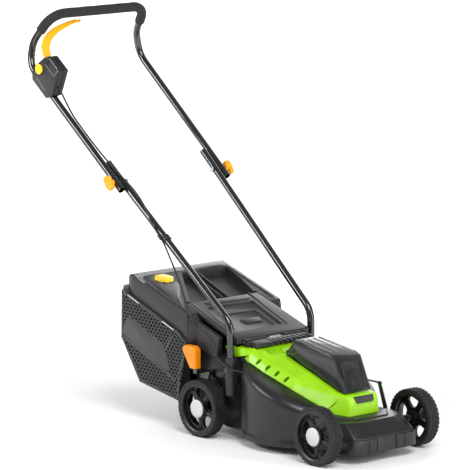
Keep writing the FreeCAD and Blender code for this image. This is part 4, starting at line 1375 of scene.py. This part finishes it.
@dataclass
class BatteryBay(SubAssembly):
    """Smoked lid over the battery, with ribs and a latch."""

    half: float = 46.0
    wall: float = 2.5
    hinge: Flat = (-259.0, 234.5)

    def lid(self) -> None:
        """Builds the lid as one rounded clear shell with ribs."""
        outline = [(-258, 232), (-222, 273), (-88, 254), (-70, 245), (-30, 160), (-40, 159.8),
                   (-56, 163.5), (-216, 219), (-250, 231)]
        inside = [(-253, 232.6), (-220.8, 269.6), (-88.9, 251), (-72, 242.6), (-33.4, 160.5),
                  (-30, 150), (-58, 150), (-218, 210), (-250, 224)]
        form = Form().extruded(outline, -self.half, self.half, soft=5.0, segments=4)
        room = Form().extruded(inside, -self.half + self.wall, self.half - self.wall, soft=3.4,
                               segments=3)
        form.carve(room)
        for y in (-31, -10.5, 10.5, 31):
            form.extruded([(-212, 270.5), (-98, 254.6), (-98, 256.6), (-212, 272.8)],
                          y - 1.3, y + 1.3)
        for y in range(-24, 25, 6):
            form.extruded([(-65.6, 234.6), (-33.2, 165.8), (-31.9, 166.4), (-64.3, 235.2)],
                          y - 1.0, y + 1.0, soft=0.3)
        for hand in (-1, 1):
            y0, y1 = sorted((hand * self.half, hand * (self.half - 14)))
            form.turned([(2.8, y0), (5.2, y0), (5.2, y1), (2.8, y1)],
                        (self.hinge[0], 0, self.hinge[1]), steps=24, closed=True)
        form.finish("lid_shell", "battery_lid", [self.stock["smoked_clear"]],
                    ["battery_lid"], smooth=30)

    def trims(self) -> None:
        """Adds dark strips painted as the shade in the lid's slots, and the battery's release tab
        and ribs.
        """
        # Painted shade: dark strips standing for the lid's slots.
        slot = Form().paired([(-60.2, 233), (-44.2, 199), (-42.8, 199.6), (-58.8, 233.6)],
                             34.0, 37.5, 0.4)
        slot.finish("lid_slots", "battery_lid", [self.stock["bush_plastic"]])
        pack = Form().extruded([(-70, 152), (-70, 196), (-102, 233.5), (-212, 251.5), (-236, 228),
                                (-236, 203.5)], -36, 36, soft=3.0, segments=3)
        for x in range(-122, -203, -20):
            pack.block((x - 5, -30, 225), (x + 5, 30, 238 + 0.163 * (-122 - x)), soft=1.0)
        pack.finish("battery_case", "mower", [self.stock["battery_plastic"]], ["battery_pack"])
        tab = Form().extruded([(-196, 214), (-170, 209), (-166, 226), (-190, 232)], -38.5, 38.5,
                              soft=1.5)
        tab.finish("battery_tabs", "mower", [self.stock["release_plastic"]])
        face = ((-16.5, -34, 153.5), (-16.5, 34, 153.5), (-9.8, 30.5, 140), (-9.2, 26, 136),
                (-9.2, -26, 136), (-9.8, -30.5, 140))
        badge = Form().lofted([[(x + out, y, z) for x, y, z in face] for out in (0.6, 4.4)],
                              soft=0.9, segments=3)
        badge.carve(Form().lofted([[(x + out, y * 0.9, 145 + (z - 145) * 0.82)
                                    for x, y, z in face] for out in (7.6, 4.0)]))
        badge.finish("name_plate", "mower", [self.stock["badge_plastic"]], ["badge"])

    def build(self) -> None:
        """Builds lid, battery and trims."""
        self.lid()
        self.trims()


# ---- rear flap, grille and grass box ---------------------------------------------------
TOP_FRONT = (-350.0, 262.0)
TOP_SLOPE = 0.325


def box_top(x: float, lower: float = 0.0) -> float:
    """Height of the sloping top of flap and grass box, in millimetres."""
    return TOP_FRONT[1] + TOP_SLOPE * (TOP_FRONT[0] - x) - lower


def on_top(outline: Sequence[Flat], low: float, high: float, soft: float = 0.8) -> Form:
    """A flat shape on the sloping top.

    Args:
        outline: Corners as (x, y).
        low: Its underside, measured up from the slope.
        high: Its top, measured up from the slope.
        soft: Width of the bevel.

    Returns:
        The shape.
    """
    return Form().lofted([[(x, y, box_top(x) + rise) for x, y in outline]
                          for rise in (low, high)], soft=soft)


def rounded_plan(rear: float, half: float, radius: float, segments: int, low: float = 200,
                 high: float = 420) -> Form:
    """Upright block of the box's plan, which trims a piece to rounded rear corners.

    Args:
        rear: Its rear end.
        half: Half its width.
        radius: Radius of the rear corners.
        segments: Steps of each corner.
        low: Its underside.
        high: Its top.

    Returns:
        The block.
    """
    front = -400
    plan = Form().extruded([(rear, -half), (rear, half), (front, half), (front, -half)], low,
                           high, Axis.Z)
    corners = [edge for edge in plan.bm.edges
               if abs(edge.verts[0].co.z - edge.verts[1].co.z) > 100
               and edge.verts[0].co.x < -700]
    plan.bevel(corners, radius, segments)
    return plan


def strip(start: Flat, end: Flat, width: float, y0: float, y1: float) -> Form:
    """Straight flat bar between two (x, z) points.

    Args:
        start: One end, as (x, z).
        end: The other end, as (x, z).
        width: Width of the bar.
        y0: Where it starts across the mower.
        y1: Where it ends across the mower.

    Returns:
        The form.
    """
    a, b = Vector((start[0], 0, start[1])), Vector((end[0], 0, end[1]))
    along = (b - a).normalized()
    out = Vector((along.z, 0, -along.x)) * width / 2
    a, b = a - along * width * 0.3, b + along * width * 0.3
    corners = [a + out, b + out, b - out, a - out]
    return Form().extruded([(p.x, p.z) for p in corners], y0, y1, soft=0.6)


@dataclass
class RearFlap(SubAssembly):
    """Sprung discharge flap with steps across and a ridge along, and its grille."""

    half: float = 127.0
    hinge: Flat = (-352.0, 254.0)

    def build(self) -> None:
        """Builds the flap."""
        side = [(-354, box_top(-354)), (-558, box_top(-558)), (-560.5, box_top(-560.5, 7)),
                (-556, box_top(-556, 12.5)), (-420, box_top(-420, 12.5)), (-356, 249)]
        form = Form().extruded(side, -self.half, self.half, soft=2.2, segments=3)
        h = self.half
        form.carve(on_top([(-392, -h + 24), (-392, 66), (-486, 74), (-524, 78), (-524, -h + 46),
                           (-486, -h + 34)], -4.4, 20))
        form.carve(on_top([(-400, -h + 46), (-400, 46), (-468, 54), (-486, 50), (-486, -h + 58),
                           (-468, -h + 52)], -7.0, 20))
        form.carve(on_top([(-374, -h + 6), (-374, h - 6), (-548, h - 6), (-548, -h + 6)],
                          -9.6, -30, 0.0))
        for outline, low, high, soft in (
                ([(-388, 80), (-392, 84), (-566, 101), (-560, 96)], -1.0, 1.6, 0.5),
                ([(-380, -h + 6), (-380, -h + 10), (-552, -h + 22), (-552, -h + 17)],
                 -1.0, 1.2, 0.5),
                ([(-532, -60), (-532, 76), (-546, 84), (-546, -72)], -1.0, 2.0, 0.7),
                ([(-430, -24), (-430, 30), (-452, 36), (-452, -30)], -7.4, -4.6, 0.7)):
            form.join(on_top(outline, low, high, soft))
        barrel = Form()
        for low, high in ((-97, -30), (30, 97)):
            barrel.turned([(3.4, low), (7, low), (7, high), (3.4, high)],
                          (self.hinge[0], 0, self.hinge[1]), steps=28, closed=True)
        for low, high in ((-96, -31), (31, 96)):
            barrel.extruded([(-352, 258), (-358, 263.5), (-362, 256), (-354, 249.5)], low, high,
                            soft=0.6)
        form.join(barrel)
        form.finish("flap_panel", "rear_flap", [self.stock["dark_plastic"]],
                    ["rear_flap"], smooth=28)
        self.grille()

    def grille(self) -> None:
        """Builds the slotted strip in front of the flap."""
        form = Form().extruded([(-303, 247), (-331, 229.2), (-341, 229.2), (-341, 250),
                                (-334, 259), (-308, 254.5)], -98, 98, soft=2.0, segments=3)
        slots = Form()
        turn = Matrix.Rotation(math.radians(28), 4, "Z")
        for y in range(78, -42, -17):
            slots.block((-330, y - 3.8, 240), (-301, y + 3.8, 275), soft=1.2, turn=turn)
        form.carve(slots)
        for hand in (-1, 1):
            for near, far, rear, front, top, soft in ((99.5, 104, -362, -338, 262, 1.4),
                                                      (97, 103, -341, -332, 256, 1.0)):
                y0, y1 = sorted((hand * near, hand * far))
                form.block((rear, y0, 240), (front, y1, top), soft=soft)
        form.finish("grille_strip", "mower", [self.stock["dark_plastic"]],
                    ["hinge_grille"], smooth=30)


@dataclass
class GrassBox(SubAssembly):
    """Moulded top with a carry recess, and a perforated basket under it."""

    half: float = 165.0
    rim_half: float = 171.0
    basket_half: float = 161.5
    cell: float = 13.6
    hole: float = 5.5
    squat: float = 0.74
    sheet: float = 2.0
    edge_fall: float = 0.3635
    indicator_at: Flat = (-690.0, -88.0)
    rim_line: tuple[Flat, ...] = ((-781, 353), (-784, 346), (-778, 341), (-536, 254),
                                  (-508, 232), (-506, 240), (-536, 263))

    def shell(self) -> None:
        """Builds the moulded top."""
        side = [(-740, 388.5), (-752, 384), (-782, 349), (-778, 344), (-536, 257), (-508, 236),
                (-508, 313.2)]
        form = Form().extruded(side, -self.half, self.half)
        form.carve(rounded_plan(-783, self.half, 60, 9), Cut.SHARED)
        form.soften(5.0, 3, 24.0)
        inner = [(-738, 384.5), (-749, 380), (-778, 348), (-790, 330), (-500, 200), (-500, 305)]
        room = Form().extruded(inner, -self.half + 4, self.half - 4)
        room.carve(rounded_plan(-779, self.half - 4, 57, 9, 190, 430), Cut.SHARED)
        recess = [(-564, -106), (-564, 120), (-640, 138), (-708, 146), (-716, 120), (-708, -12)]
        pan = on_top([(x - (3 if x < -600 else 0), y + (3 if y > 0 else -3)) for x, y in recess],
                     -27, 10, 0.0)
        bed = on_top([(-505, -131.5), (-505, 131.5), (-570, 131.5), (-570, -131.5)], -17.5, 60, 0)
        form.carve(room.carve(pan).carve(bed))
        form.carve(on_top(recess, -24, 30, 0.0))
        form.carve(on_top([(-480, -128.5), (-480, 128.5), (-566, 128.5), (-566, -128.5)],
                          -14, 60, 0.0))
        form.carve(Form().block((-530, -121.5, 150), (-490, 121.5, 285)))
        self.dress_top(form)
        for hand in (-1, 1):
            y0, y1 = sorted((hand * 131, hand * 148))
            form.extruded([(-509, 300), (-402, 264), (-410, 213), (-430, 210), (-509, 237)],
                          y0, y1, soft=2.5, segments=3)
            form.join(Form().lofted([
                [(-507, hand * 131, 236), (-507, hand * 165, 238), (-507, hand * 165, 308),
                 (-507, hand * 131, 310)],
                [(-486, hand * 131, 231), (-486, hand * 148, 231), (-486, hand * 148, 293),
                 (-486, hand * 131, 293)]], soft=1.5))
        form.finish("box_top", "grass_box", [self.stock["dark_plastic"]],
                    ["grass_box_shell"], smooth=30)

    def dress_top(self, form: Form) -> None:
        """Adds ridges, the indicator's lugs, handle bars and the raised wedge.

        Args:
            form: The top, which the details join.
        """
        foot = ((-716, -52, -1), (-716, -124, -1), (-640, -150, -1), (-514, -161, -1),
                (-590, -118, -1), (-650, -66, -1))
        crest = ((-712, -58, 0.6), (-712, -118, 0.6), (-640, -140, 4.4), (-524, -157, 0.6),
                 (-596, -122, 4.4), (-654, -72, 3.4))
        form.join(Form().lofted([[(x, y, box_top(x) + rise) for x, y, rise in ring]
                                 for ring in (foot, crest)], soft=0.8))
        for y in (22, 42):
            form.join(on_top([(-566, y - 10.4), (-566, y - 13.6), (-706, y - 1.6),
                              (-706, y + 1.6)], -25, -2.0, 0.5))
        for y in (-152, 152):
            form.join(on_top([(-524, y - 2), (-524, y + 2), (-716, y + 1), (-716, y - 3)],
                             -1.0, 2.2, 0.6))
        lug = box_top(-669)
        for y in (self.indicator_at[1] - 17.3, self.indicator_at[1] + 17.3):
            form.block((-670.2, y - 1.5, lug), (-666.5, y + 1.5, lug + 4.4), soft=0.4)

    def edge_height(self, x: float) -> float:
        """Height of the top's side edge."""
        return 353.5 - self.edge_fall * (x + 780)

    def rim(self) -> None:
        """Builds the rim band and its clip slots."""
        band = Form().extruded(self.rim_line, -self.rim_half, self.rim_half)
        band.carve(rounded_plan(-785, self.rim_half, 38, 6), Cut.SHARED)
        band.soften(1.6, 2, 24.0)
        inner = self.half - 3
        band.carve(Form().extruded([(-690, -inner), (-690, inner), (-500, inner),
                                    (-500, -inner)], 200, 420, Axis.Z))
        slots = Form()
        for x0, x1 in ((-746, -693), (-605, -552)):
            z0, z1 = self.edge_height(x0), self.edge_height(x1)
            slots.extruded([(x0, z0 - 10.5), (x1, z1 - 10.5), (x1, z1 - 2.5), (x0, z0 - 2.5)],
                           -self.rim_half - 3, -self.rim_half + 4)
        slots.mirrored()
        band.carve(slots)
        band.finish("box_rim", "grass_box", [self.stock["dark_plastic"]])

    def edge_band(self) -> None:
        """Builds the pale band along the rear and left edges of the top, a painted highlight on
        those rounded edges.
        """
        outer = [(-686, -163), (-712, -161), (-728, -157), (-738, -151), (-738, 151), (-728, 157),
                 (-712, 161), (-686, 163), (-512, 163)]
        inner = [(-686, -152), (-704, -149), (-714, -142), (-719, -132), (-719, 132), (-714, 142),
                 (-704, 149), (-686, 152), (-512, 152)]
        # Painted highlight: pale strip along the far rims of the dark top.
        band = Form().lofted([
            [(ox, oy, box_top(ox) - 2.5), (ix, iy, box_top(ix) - 2.5),
             (ix, iy, box_top(ix) + 1.6), (ox, oy, box_top(ox) + 1.6)]
            for (ox, oy), (ix, iy) in zip(outer, inner)], soft=0.7)
        band.finish("edge_band", "grass_box", [self.stock["rim_plastic"]])

    def hexagon(self, x: float, z: float, radius: float) -> list[Flat]:
        """Corners of a hexagon with its point up."""
        turns = [math.radians(60 * i) for i in range(6)]
        return [(x + radius * math.sin(turn), z + radius * math.cos(turn)) for turn in turns]

    def repeat(self, form: Form, step: Point, times: int) -> None:
        """Adds copies of the whole form, each one step further on."""
        bmesh.ops.spin(form.bm, geom=form.all(), cent=(0, 0, 0), axis=Axis.Y.value, dvec=step,
                       angle=0.0, steps=times, use_duplicate=True)

    def net(self, width: float, height: float) -> Form:
        """Flat sheet of hexagonal cells, each with a rounded hole, from (0, 0).

        Args:
            width: Extent along the first axis.
            height: Extent along the second.

        Returns:
            The sheet, standing across Y.
        """
        form = Form()
        reach = self.cell / math.sqrt(3)
        rings = []
        for radius in (reach, self.hole):
            rings.append([form.bm.verts.new((x, 0, z)) for x, z in self.hexagon(0, 0, radius)])
        for i in range(6):
            j = (i + 1) % 6
            form.bm.faces.new((rings[0][i], rings[0][j], rings[1][j], rings[1][i]))
        self.repeat(form, (self.cell, 0, 0), int(width / self.cell) + 2)
        made = bmesh.ops.duplicate(form.bm, geom=form.all())
        bmesh.ops.translate(form.bm, vec=(self.cell / 2, 0, reach * 1.5),
                            verts=[v for v in made["geom"] if isinstance(v, bmesh.types.BMVert)])
        self.repeat(form, (0, 0, reach * 3), int(height / reach / 3 / self.squat) + 2)
        bmesh.ops.remove_doubles(form.bm, verts=form.bm.verts, dist=0.05)
        bmesh.ops.recalc_face_normals(form.bm, faces=form.bm.faces)
        return form.moved(Matrix.Diagonal((1, 1, self.squat, 1)))

    def trim(self, form: Form, outline: Sequence[Flat]) -> Form:
        """Cuts a sheet across Y to a convex outline of (x, z) corners and thickens it.

        Args:
            form: The flat sheet.
            outline: Corners as (x, z), given in turn.

        Returns:
            The form.
        """
        count = len(outline)
        cx = sum(x for x, _ in outline) / count
        cz = sum(z for _, z in outline) / count
        for (x0, z0), (x1, z1) in zip(outline, list(outline[1:]) + [outline[0]]):
            normal = Vector((z1 - z0, 0, -(x1 - x0))).normalized()
            if normal.dot(Vector((cx - x0, 0, cz - z0))) > 0:
                normal.negate()
            bmesh.ops.bisect_plane(form.bm, geom=form.all(), dist=0.0001, plane_co=(x0, 0, z0),
                                   plane_no=normal, clear_outer=True, clear_inner=False)
        bmesh.ops.solidify(form.bm, geom=form.bm.faces[:], thickness=self.sheet)
        bmesh.ops.recalc_face_normals(form.bm, faces=form.bm.faces)
        return form

    def side_wall(self) -> Form:
        """Perforated right wall with its frame and plain slanting band.

        Returns:
            The form.
        """
        wall = [(-774, 338), (-776, 214), (-702, 106), (-549, 80), (-545, 145), (-512, 231),
                (-536, 253)]
        front = -self.basket_half
        sheet = self.net(290, 290).moved(Matrix.Translation((-792, front + 1.4, 70)))
        self.trim(sheet, [corner for corner in wall if corner != (-545, 145)])
        y0, y1 = front - 1.2, front + 3.6
        for start, end in zip(wall, wall[1:] + wall[:1]):
            wide = 10.0 if start[1] > 240 and end[1] > 240 else 7.0
            sheet.join(strip(start, end, wide, y0, y1))
        sheet.extruded([(-775, 224), (-758, 268), (-744, 274), (-606, 218), (-598, 196),
                        (-580, 158), (-597, 146)], y0, y1, soft=0.8)
        sheet.join(strip((-775, 218), (-560, 130), 8.0, y0, y1))
        sheet.join(strip((-598, 205), (-572, 243), 8.0, y0, y1))
        # Painted shade: dark sheet behind the holes.
        sheet.join(self.liner(wall, front + 3.0, front + 3.9))
        return sheet

    def liner(self, outline: Sequence[Flat], low: float, high: float) -> Form:
        """Thin dark sheet behind a perforated wall, painted shade seen through its holes.

        Args:
            outline: Corners as (x, z), given in turn.
            low: Where it starts across the mower.
            high: Where it ends across the mower.

        Returns:
            The form.
        """
        form = Form()
        form.ink = 1
        return form.extruded(outline, low, high)

    def basket(self) -> None:
        """Builds the basket's walls, floor and rim."""
        form = self.side_wall()
        form.mirrored()
        h = self.basket_half
        for (x0, z0), (x1, z1), holes in (((-774, 342), (-776, 214), True),
                                          ((-776, 214), (-702, 106), True),
                                          ((-702, 106), (-547, 79), False)):
            length = math.hypot(x1 - x0, z1 - z0)
            whole = [(0, 0), (2 * h, 0), (2 * h, length), (0, length)]
            if holes:
                sheet = self.trim(self.net(2 * h, length), [
                    (2, 2), (2 * h - 2, 2), (2 * h - 2, length - 2), (2, length - 2)])
                for z in (4, length - 4):
                    sheet.join(strip((0, z), (2 * h, z), 8.0, -1.2, 2.2))
                for x in (4, 2 * h / 3, 4 * h / 3, 2 * h - 4):
                    sheet.join(strip((x, 0), (x, length), 6.0, -1.2, 2.2))
                # Painted shade: dark sheet behind the holes.
                sheet.join(self.liner(whole, 1.4, 2.3))
            else:
                sheet = Form().extruded(whole, -1.5, 1.5, soft=0.8)
            up = Vector((x0 - x1, 0, z0 - z1)).normalized()
            out = Vector((0, 1, 0)).cross(up)
            place = Matrix(((0, out.x, up.x, x1), (1, out.y, up.y, -h), (0, out.z, up.z, z1),
                            (0, 0, 0, 1)))
            form.join(sheet.moved(place @ Matrix.Translation((0, 1.6, 0))))
        form.paired([(-549, 80), (-545, 145), (-511, 231), (-536, 254), (-541, 250), (-516, 230),
                     (-549, 147), (-553, 82)], 121.5, h - 1, 0.6)
        form.extruded([(-547, 79), (-546, 100), (-549, 100), (-551, 80)], -122, 122, soft=0.5)
        bmesh.ops.recalc_face_normals(form.bm, faces=form.bm.faces)
        form.finish("basket_walls", "grass_box",
                    [self.stock["basket_plastic"], self.stock["liner_plastic"]],
                    ["grass_basket"], smooth=25)

    def bars(self) -> None:
        """Builds the light clip bars in the rim's slots."""
        form = Form()
        for x0, x1 in ((-743, -696), (-602, -555)):
            z0, z1 = self.edge_height(x0) - 6.5, self.edge_height(x1) - 6.5
            form.extruded([(x0, z0 - 1.3), (x1, z1 - 1.3), (x1, z1 + 1.3), (x0, z0 + 1.3)],
                          -self.rim_half - 1.6, -self.rim_half + 3.6, soft=0.9)
        form.mirrored()
        form.finish("clip_bars", "grass_box", [self.stock["light_trim"]], ["box_latch_bars"])

    def indicator(self) -> None:
        """Builds the fill indicator with a dished, rounded plate."""
        cx, cy = self.indicator_at
        plan = [(20, -15), (20, 15), (0, 33), (-20, 15), (-20, -15), (0, -33)]
        form = Form().lofted([
            [(cx + u * scale, cy + v * scale, box_top(cx + u * scale) + rise) for u, v in plan]
            for scale, rise in ((1.0, 1.0), (1.0, 3.2), (0.9, 4.4))], soft=0.7)
        pivot = (-669.5, cy, box_top(-669.5) + 2.5)
        for radius, reach, steps in ((2.1, 13.5, 16), (1.0, 18.5, 12)):
            form.turned([(0, -reach), (radius, -reach), (radius, reach), (0, reach)], pivot,
                        steps=steps)
        form.finish("indicator_plate", "fill_flap", [self.stock["yellow_plastic"]], ["fill_flap"])

    def build(self) -> None:
        """Builds the whole grass box."""
        self.shell()
        self.rim()
        self.edge_band()
        self.basket()
        self.bars()
        self.indicator()


# ---- handle --------------------------------------------------------------------------
@dataclass
class Handle(SubAssembly):
    """Foam grip, switch box, lever, knobs and height grip."""

    fold: Flat = (-770.0, 633.4)
    foam_cell: float = 2.6
    button: Point = (-1061, 0, 910)

    def foam(self) -> None:
        """Builds the foam sleeve from the CAD sleeve with soft, uneven skin."""
        mesh = Form().node("foam_grip").mesh()
        sleeve = stood("sleeve", mesh)
        remesh = sleeve.modifiers.new("even", "REMESH")
        remesh.mode = "VOXEL"
        remesh.voxel_size = self.foam_cell
        smooth = sleeve.modifiers.new("soft", "SMOOTH")
        smooth.factor, smooth.iterations = 0.5, 3
        skin = Form().take(evaluated(sleeve))
        bpy.data.objects.remove(sleeve)
        bpy.data.meshes.remove(mesh)
        skin.bm.normal_update()
        for vert in skin.bm.verts:
            wave = (math.sin(vert.co.y * 0.11) * math.sin(vert.co.x * 0.13 + vert.co.z * 0.09)
                    + 0.5 * math.sin(vert.co.y * 0.37 + vert.co.z * 0.31))
            vert.co += vert.normal * (0.22 * wave - 0.05)
        piece = skin.finish("foam_sleeve", "upper_handle", [self.stock["foam"]], ["foam_grip"],
                            smooth=70)

    def switch_box(self) -> None:
        """Builds both halves of the switch box with facets, a recessed panel and pale strips
        painted as highlights on its edges.
        """
        side = [(-1046, 941), (-1027, 947), (-981, 911), (-1010, 842), (-1038, 832),
                (-1096, 877), (-1097, 899), (-1083, 917)]
        outer = Form().extruded(side, -208, -190.3, soft=3.6, segments=3)
        panel = [(-1033, 924), (-1001, 897.5), (-986, 911), (-1021, 939)]
        outer.carve(Form().extruded(panel, -212, -206.2))
        outer.extruded([(-1030, 924), (-1001.5, 900.5), (-990, 911), (-1020, 935)], -206.9, -205.5,
                       soft=0.4)
        outer.carve(Form().turned([(0, -212), (14.8, -212), (14.8, -206.8), (12.5, -206.8),
                                   (12.5, -193.5), (0, -193.5)], self.button, steps=36))
        outer.turned([(14.9, -208.6), (16.4, -208.6), (17.0, -207.6), (17.0, -204), (14.9, -204)],
                     self.button, steps=36, closed=True)
        outer.finish("switch_case_outer", "upper_handle", [self.stock["switch_plastic"]],
                     ["switch_box_outer"], smooth=28)
        # Painted highlights: pale strips along the edges of the recessed panel and the case.
        lines = Form()
        for start, end in (((-1036, 925), (-1002, 896)), ((-1019, 942), (-986, 916)),
                           ((-984, 912), (-999, 897)), ((-1076, 887), (-1040, 854))):
            lines.join(strip(start, end, 1.7, -208.7, -207))
        lines.finish("switch_edges", "upper_handle", [self.stock["rim_plastic"]])
        inner = Form().extruded(side, -189.7, -172, soft=3.6, segments=3)
        inner.carve(Form().block((-1090, -186.5, 905), (-1034, -175.5, 960)))
        for x, z in ((-1030, 925), (-1016, 860), (-1082, 890)):
            inner.turned([(0, -173), (3.6, -173), (3.6, -171.2), (2.4, -171.0), (0, -171.6)],
                         (x, 0, z), steps=18)
        inner.finish("switch_case_inner", "upper_handle", [self.stock["switch_plastic"]],
                     ["switch_box_inner"], smooth=28)
        button = Form().turned([(0, -215), (7, -214.8), (11.4, -214.1), (13.9, -212.9),
                                (14.3, -211.9), (13.6, -211.4), (12, -211.4), (12, -198),
                                (0, -198)], self.button, steps=40)
        button.finish("start_knob", "start_button", [self.stock["yellow_plastic"]],
                      ["start_button"])

    def lever(self) -> None:
        """Builds the dead man's lever: wide upright, bend and long tapering arm."""
        spine = ((-1041, -181.5, 914, 7.6, 4.6), (-1052, -181.5, 930, 9.0, 4.8),
                 (-1066, -181, 950, 11.0, 4.6), (-1075, -177, 966, 11.8, 4.4),
                 (-1081, -166, 983, 11.6, 4.2), (-1085, -150, 996, 10.6, 4.0),
                 (-1087, -128, 1008, 9.0, 3.6), (-1087.5, -104, 1016, 7.6, 3.2),
                 (-1087.5, -80, 1023, 6.2, 2.8), (-1087, -64, 1026.5, 5.2, 2.4),
                 (-1085.5, -54, 1025.5, 4.4, 2.2), (-1084.0, -47, 1028.5, 3.6, 2.0))
        points = [Vector(row[:3]) for row in spine]
        rings = []
        for i, (wide, deep) in enumerate(row[3:] for row in spine):
            before, after = points[max(i - 1, 0)], points[min(i + 1, len(points) - 1)]
            along = (after - before).normalized()
            broad = along.cross(Vector((0.738, -0.654, 0.167))).normalized()
            thin = along.cross(broad).normalized()
            rings.append([points[i] + broad * wide * u + thin * deep * v for u, v in
                          ((-1, -0.55), (-0.72, -1), (0.72, -1), (1, -0.55), (1, 0.7), (0.78, 1.0),
                           (0.6, 0.2), (-0.6, 0.2), (-0.78, 1.0), (-1, 0.7))])
        form = Form().lofted(rings, soft=0.5)
        form.turned([(3.4, -187), (7, -187), (7, -177), (3.4, -177)], (-1040, 0, 918), steps=28,
                    closed=True)
        form.finish("squeeze_lever", "switch_lever", [self.stock["lever_plastic"]],
                    ["switch_lever"], smooth=45)

    def knobs(self) -> None:
        """Builds the oval clamp knobs."""
        x, z = self.fold
        lean = math.atan2(-0.596, 0.803)
        for hand, name in ((1, "left"), (-1, "right")):
            outline = []
            for i in range(60):
                turn = math.tau * i / 60
                u = 22.5 * math.cos(turn) * (1 - 0.10 * math.cos(turn) ** 8)
                v = 14.2 * math.sin(turn) * (1 + 0.14 * math.cos(2 * turn))
                outline.append((x + u * math.sin(lean) + v * math.cos(lean),
                                z + u * math.cos(lean) - v * math.sin(lean)))
            form = Form().extruded(outline, 203.5, 216.4, soft=2.6, segments=3)
            form.turned([(3.4, 196.6), (9, 196.6), (10, 203), (3.4, 203)], (x, 0, z), steps=30,
                        closed=True)
            form.turned([(0, 216), (7.5, 216), (7.5, 217.4), (6.4, 218), (0, 218)], (x, 0, z),
                        steps=30)
            form.handed(hand).finish("clamp_knob_" + name, "knob_" + name,
                                     [self.stock["knob_plastic"]], ["wing_knob_" + name], smooth=40)

    def height_lever(self) -> None:
        """Builds the faceted grip of the height lever."""
        rings = []
        cut = 4.0
        for x0, x1, y0, y1, z in (
                (-477, -452, -185, -163, 178), (-483, -450, -187, -162, 196),
                (-494, -444.5, -188, -161, 224), (-493, -446, -187.5, -161.5, 230),
                (-486, -451, -185, -164, 236)):
            lean = 0.2 * (z - 178)
            x0, x1 = x0 - lean, x1 - lean
            rings.append([(x0 + cut, y0, z), (x1 - cut, y0, z), (x1, y0 + cut, z),
                          (x1, y1 - cut, z), (x1 - cut, y1, z), (x0 + cut, y1, z),
                          (x0, y1 - cut, z), (x0, y0 + cut, z)])
        form = Form().lofted(rings, soft=1.4, segments=3, angle=14.0)
        dips = Form()
        for i in range(3):
            dips.block((-486 - i * 2, -192, 194 + i * 10),
                       (-460 - i * 2, -186.4, 197.4 + i * 10), soft=0.8)
        form.carve(dips)
        form.finish("height_knob", "rear_axle", [self.stock["amber_plastic"]], ["height_grip"],
                    smooth=26)

    def build(self) -> None:
        """Builds everything on the handle and the height grip."""
        self.foam()
        self.switch_box()
        self.lever()
        self.knobs()
        self.height_lever()


# ---- switch cable -----------------------------------------------------------------
@dataclass
class SwitchCable(SubAssembly):
    """The cable from the switch box to the deck, tied along the right tubes."""

    diameter: float = 0.005
    length: float = 1.008
    fold_low: Point = (-745.0, -171.0, 636.0)
    fold_high: Point = (-800.0, -176.0, 675.0)
    route: tuple[Point, ...] = (
        (-1009.0, -190.0, 874.0), (-991.0, -190.0, 851.0), (-969.0, -190.5, 824.0),
        (-943.0, -190.5, 794.0), (-908.0, -189.5, 765.5), (-869.0, -188.5, 734.0),
        (-834.0, -183.5, 703.5), (-801.0, -177.5, 675.5), (-768.0, -172.0, 650.5),
        (-727.0, -167.5, 624.5), (-686.0, -167.0, 592.0), (-655.0, -171.5, 560.0),
        (-634.0, -173.0, 531.0), (-612.0, -170.5, 508.5), (-594.0, -168.5, 489.0),
        (-574.5, -168.0, 458.0), (-552.0, -167.0, 423.0), (-531.0, -165.5, 384.5),
        (-515.0, -164.0, 345.0), (-498.5, -162.5, 310.5), (-474.0, -162.0, 277.5),
        (-440.0, -163.5, 251.5), (-409.0, -164.0, 229.5), (-381.0, -163.5, 209.0),
        (-354.0, -160.0, 194.0), (-332.0, -150.5, 187.0), (-314.0, -137.5, 185.0),
    )

    def line(self, thick: float) -> bpy.types.Mesh:
        """The cable's smooth spline as a mesh.

        Args:
            thick: Diameter of the tube, or 0 for the bare centreline.

        Returns:
            The mesh.
        """
        data = bpy.data.curves.new("cable_line", "CURVE")
        data.dimensions = "3D"
        spline = data.splines.new("NURBS")
        spline.points.add(len(self.route) - 1)
        for control, point in zip(spline.points, self.route):
            control.co = (*in_frame(point), 1.0)
        spline.order_u = 3
        spline.use_endpoint_u = True
        spline.resolution_u = 6
        data.bevel_depth = thick / 2
        data.bevel_resolution = 4
        data.use_fill_caps = True
        guide = stood("cable_line", data)
        mesh = evaluated(guide)
        bpy.data.objects.remove(guide)
        bpy.data.curves.remove(data)
        return mesh

    def build(self) -> None:
        """Lays the cable along its route."""
        centre = self.line(0.0)
        bpy.data.meshes.remove(centre)
        shape = self.line(self.diameter)
        tube = bmesh.new()
        tube.from_mesh(shape)
        bmesh.ops.remove_doubles(tube, verts=tube.verts, dist=0.00002)
        bmesh.ops.recalc_face_normals(tube, faces=tube.faces)
        tube.to_mesh(shape)
        tube.free()
        shape.name = "switch_cable"
        shape.materials.clear()
        shape.materials.append(self.stock["cable_rubber"])
        shape.polygons.foreach_set("use_smooth", [True] * len(shape.polygons))
        cable = stood("switch_cable", shape)
        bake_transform(cable)
        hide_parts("cable")


def main() -> None:
    """Builds the studio, the cable and every sub-assembly in order."""
    logging.basicConfig(level=logging.INFO, format="%(name)s: %(message)s")
    studio = Studio()
    studio.camera()
    stock = Stock()
    SwitchCable(stock).build()
    stock.dress_cad()
    for end in ("front", "rear"):
        for hand in ("left", "right"):
            RoadWheel(stock, end, hand).build()
    for part in (Deck, MotorCover, BatteryBay, RearFlap, GrassBox, Handle):
        part(stock).build()
    studio.floor()
    studio.lights()


if __name__ == "__main__":
    main()
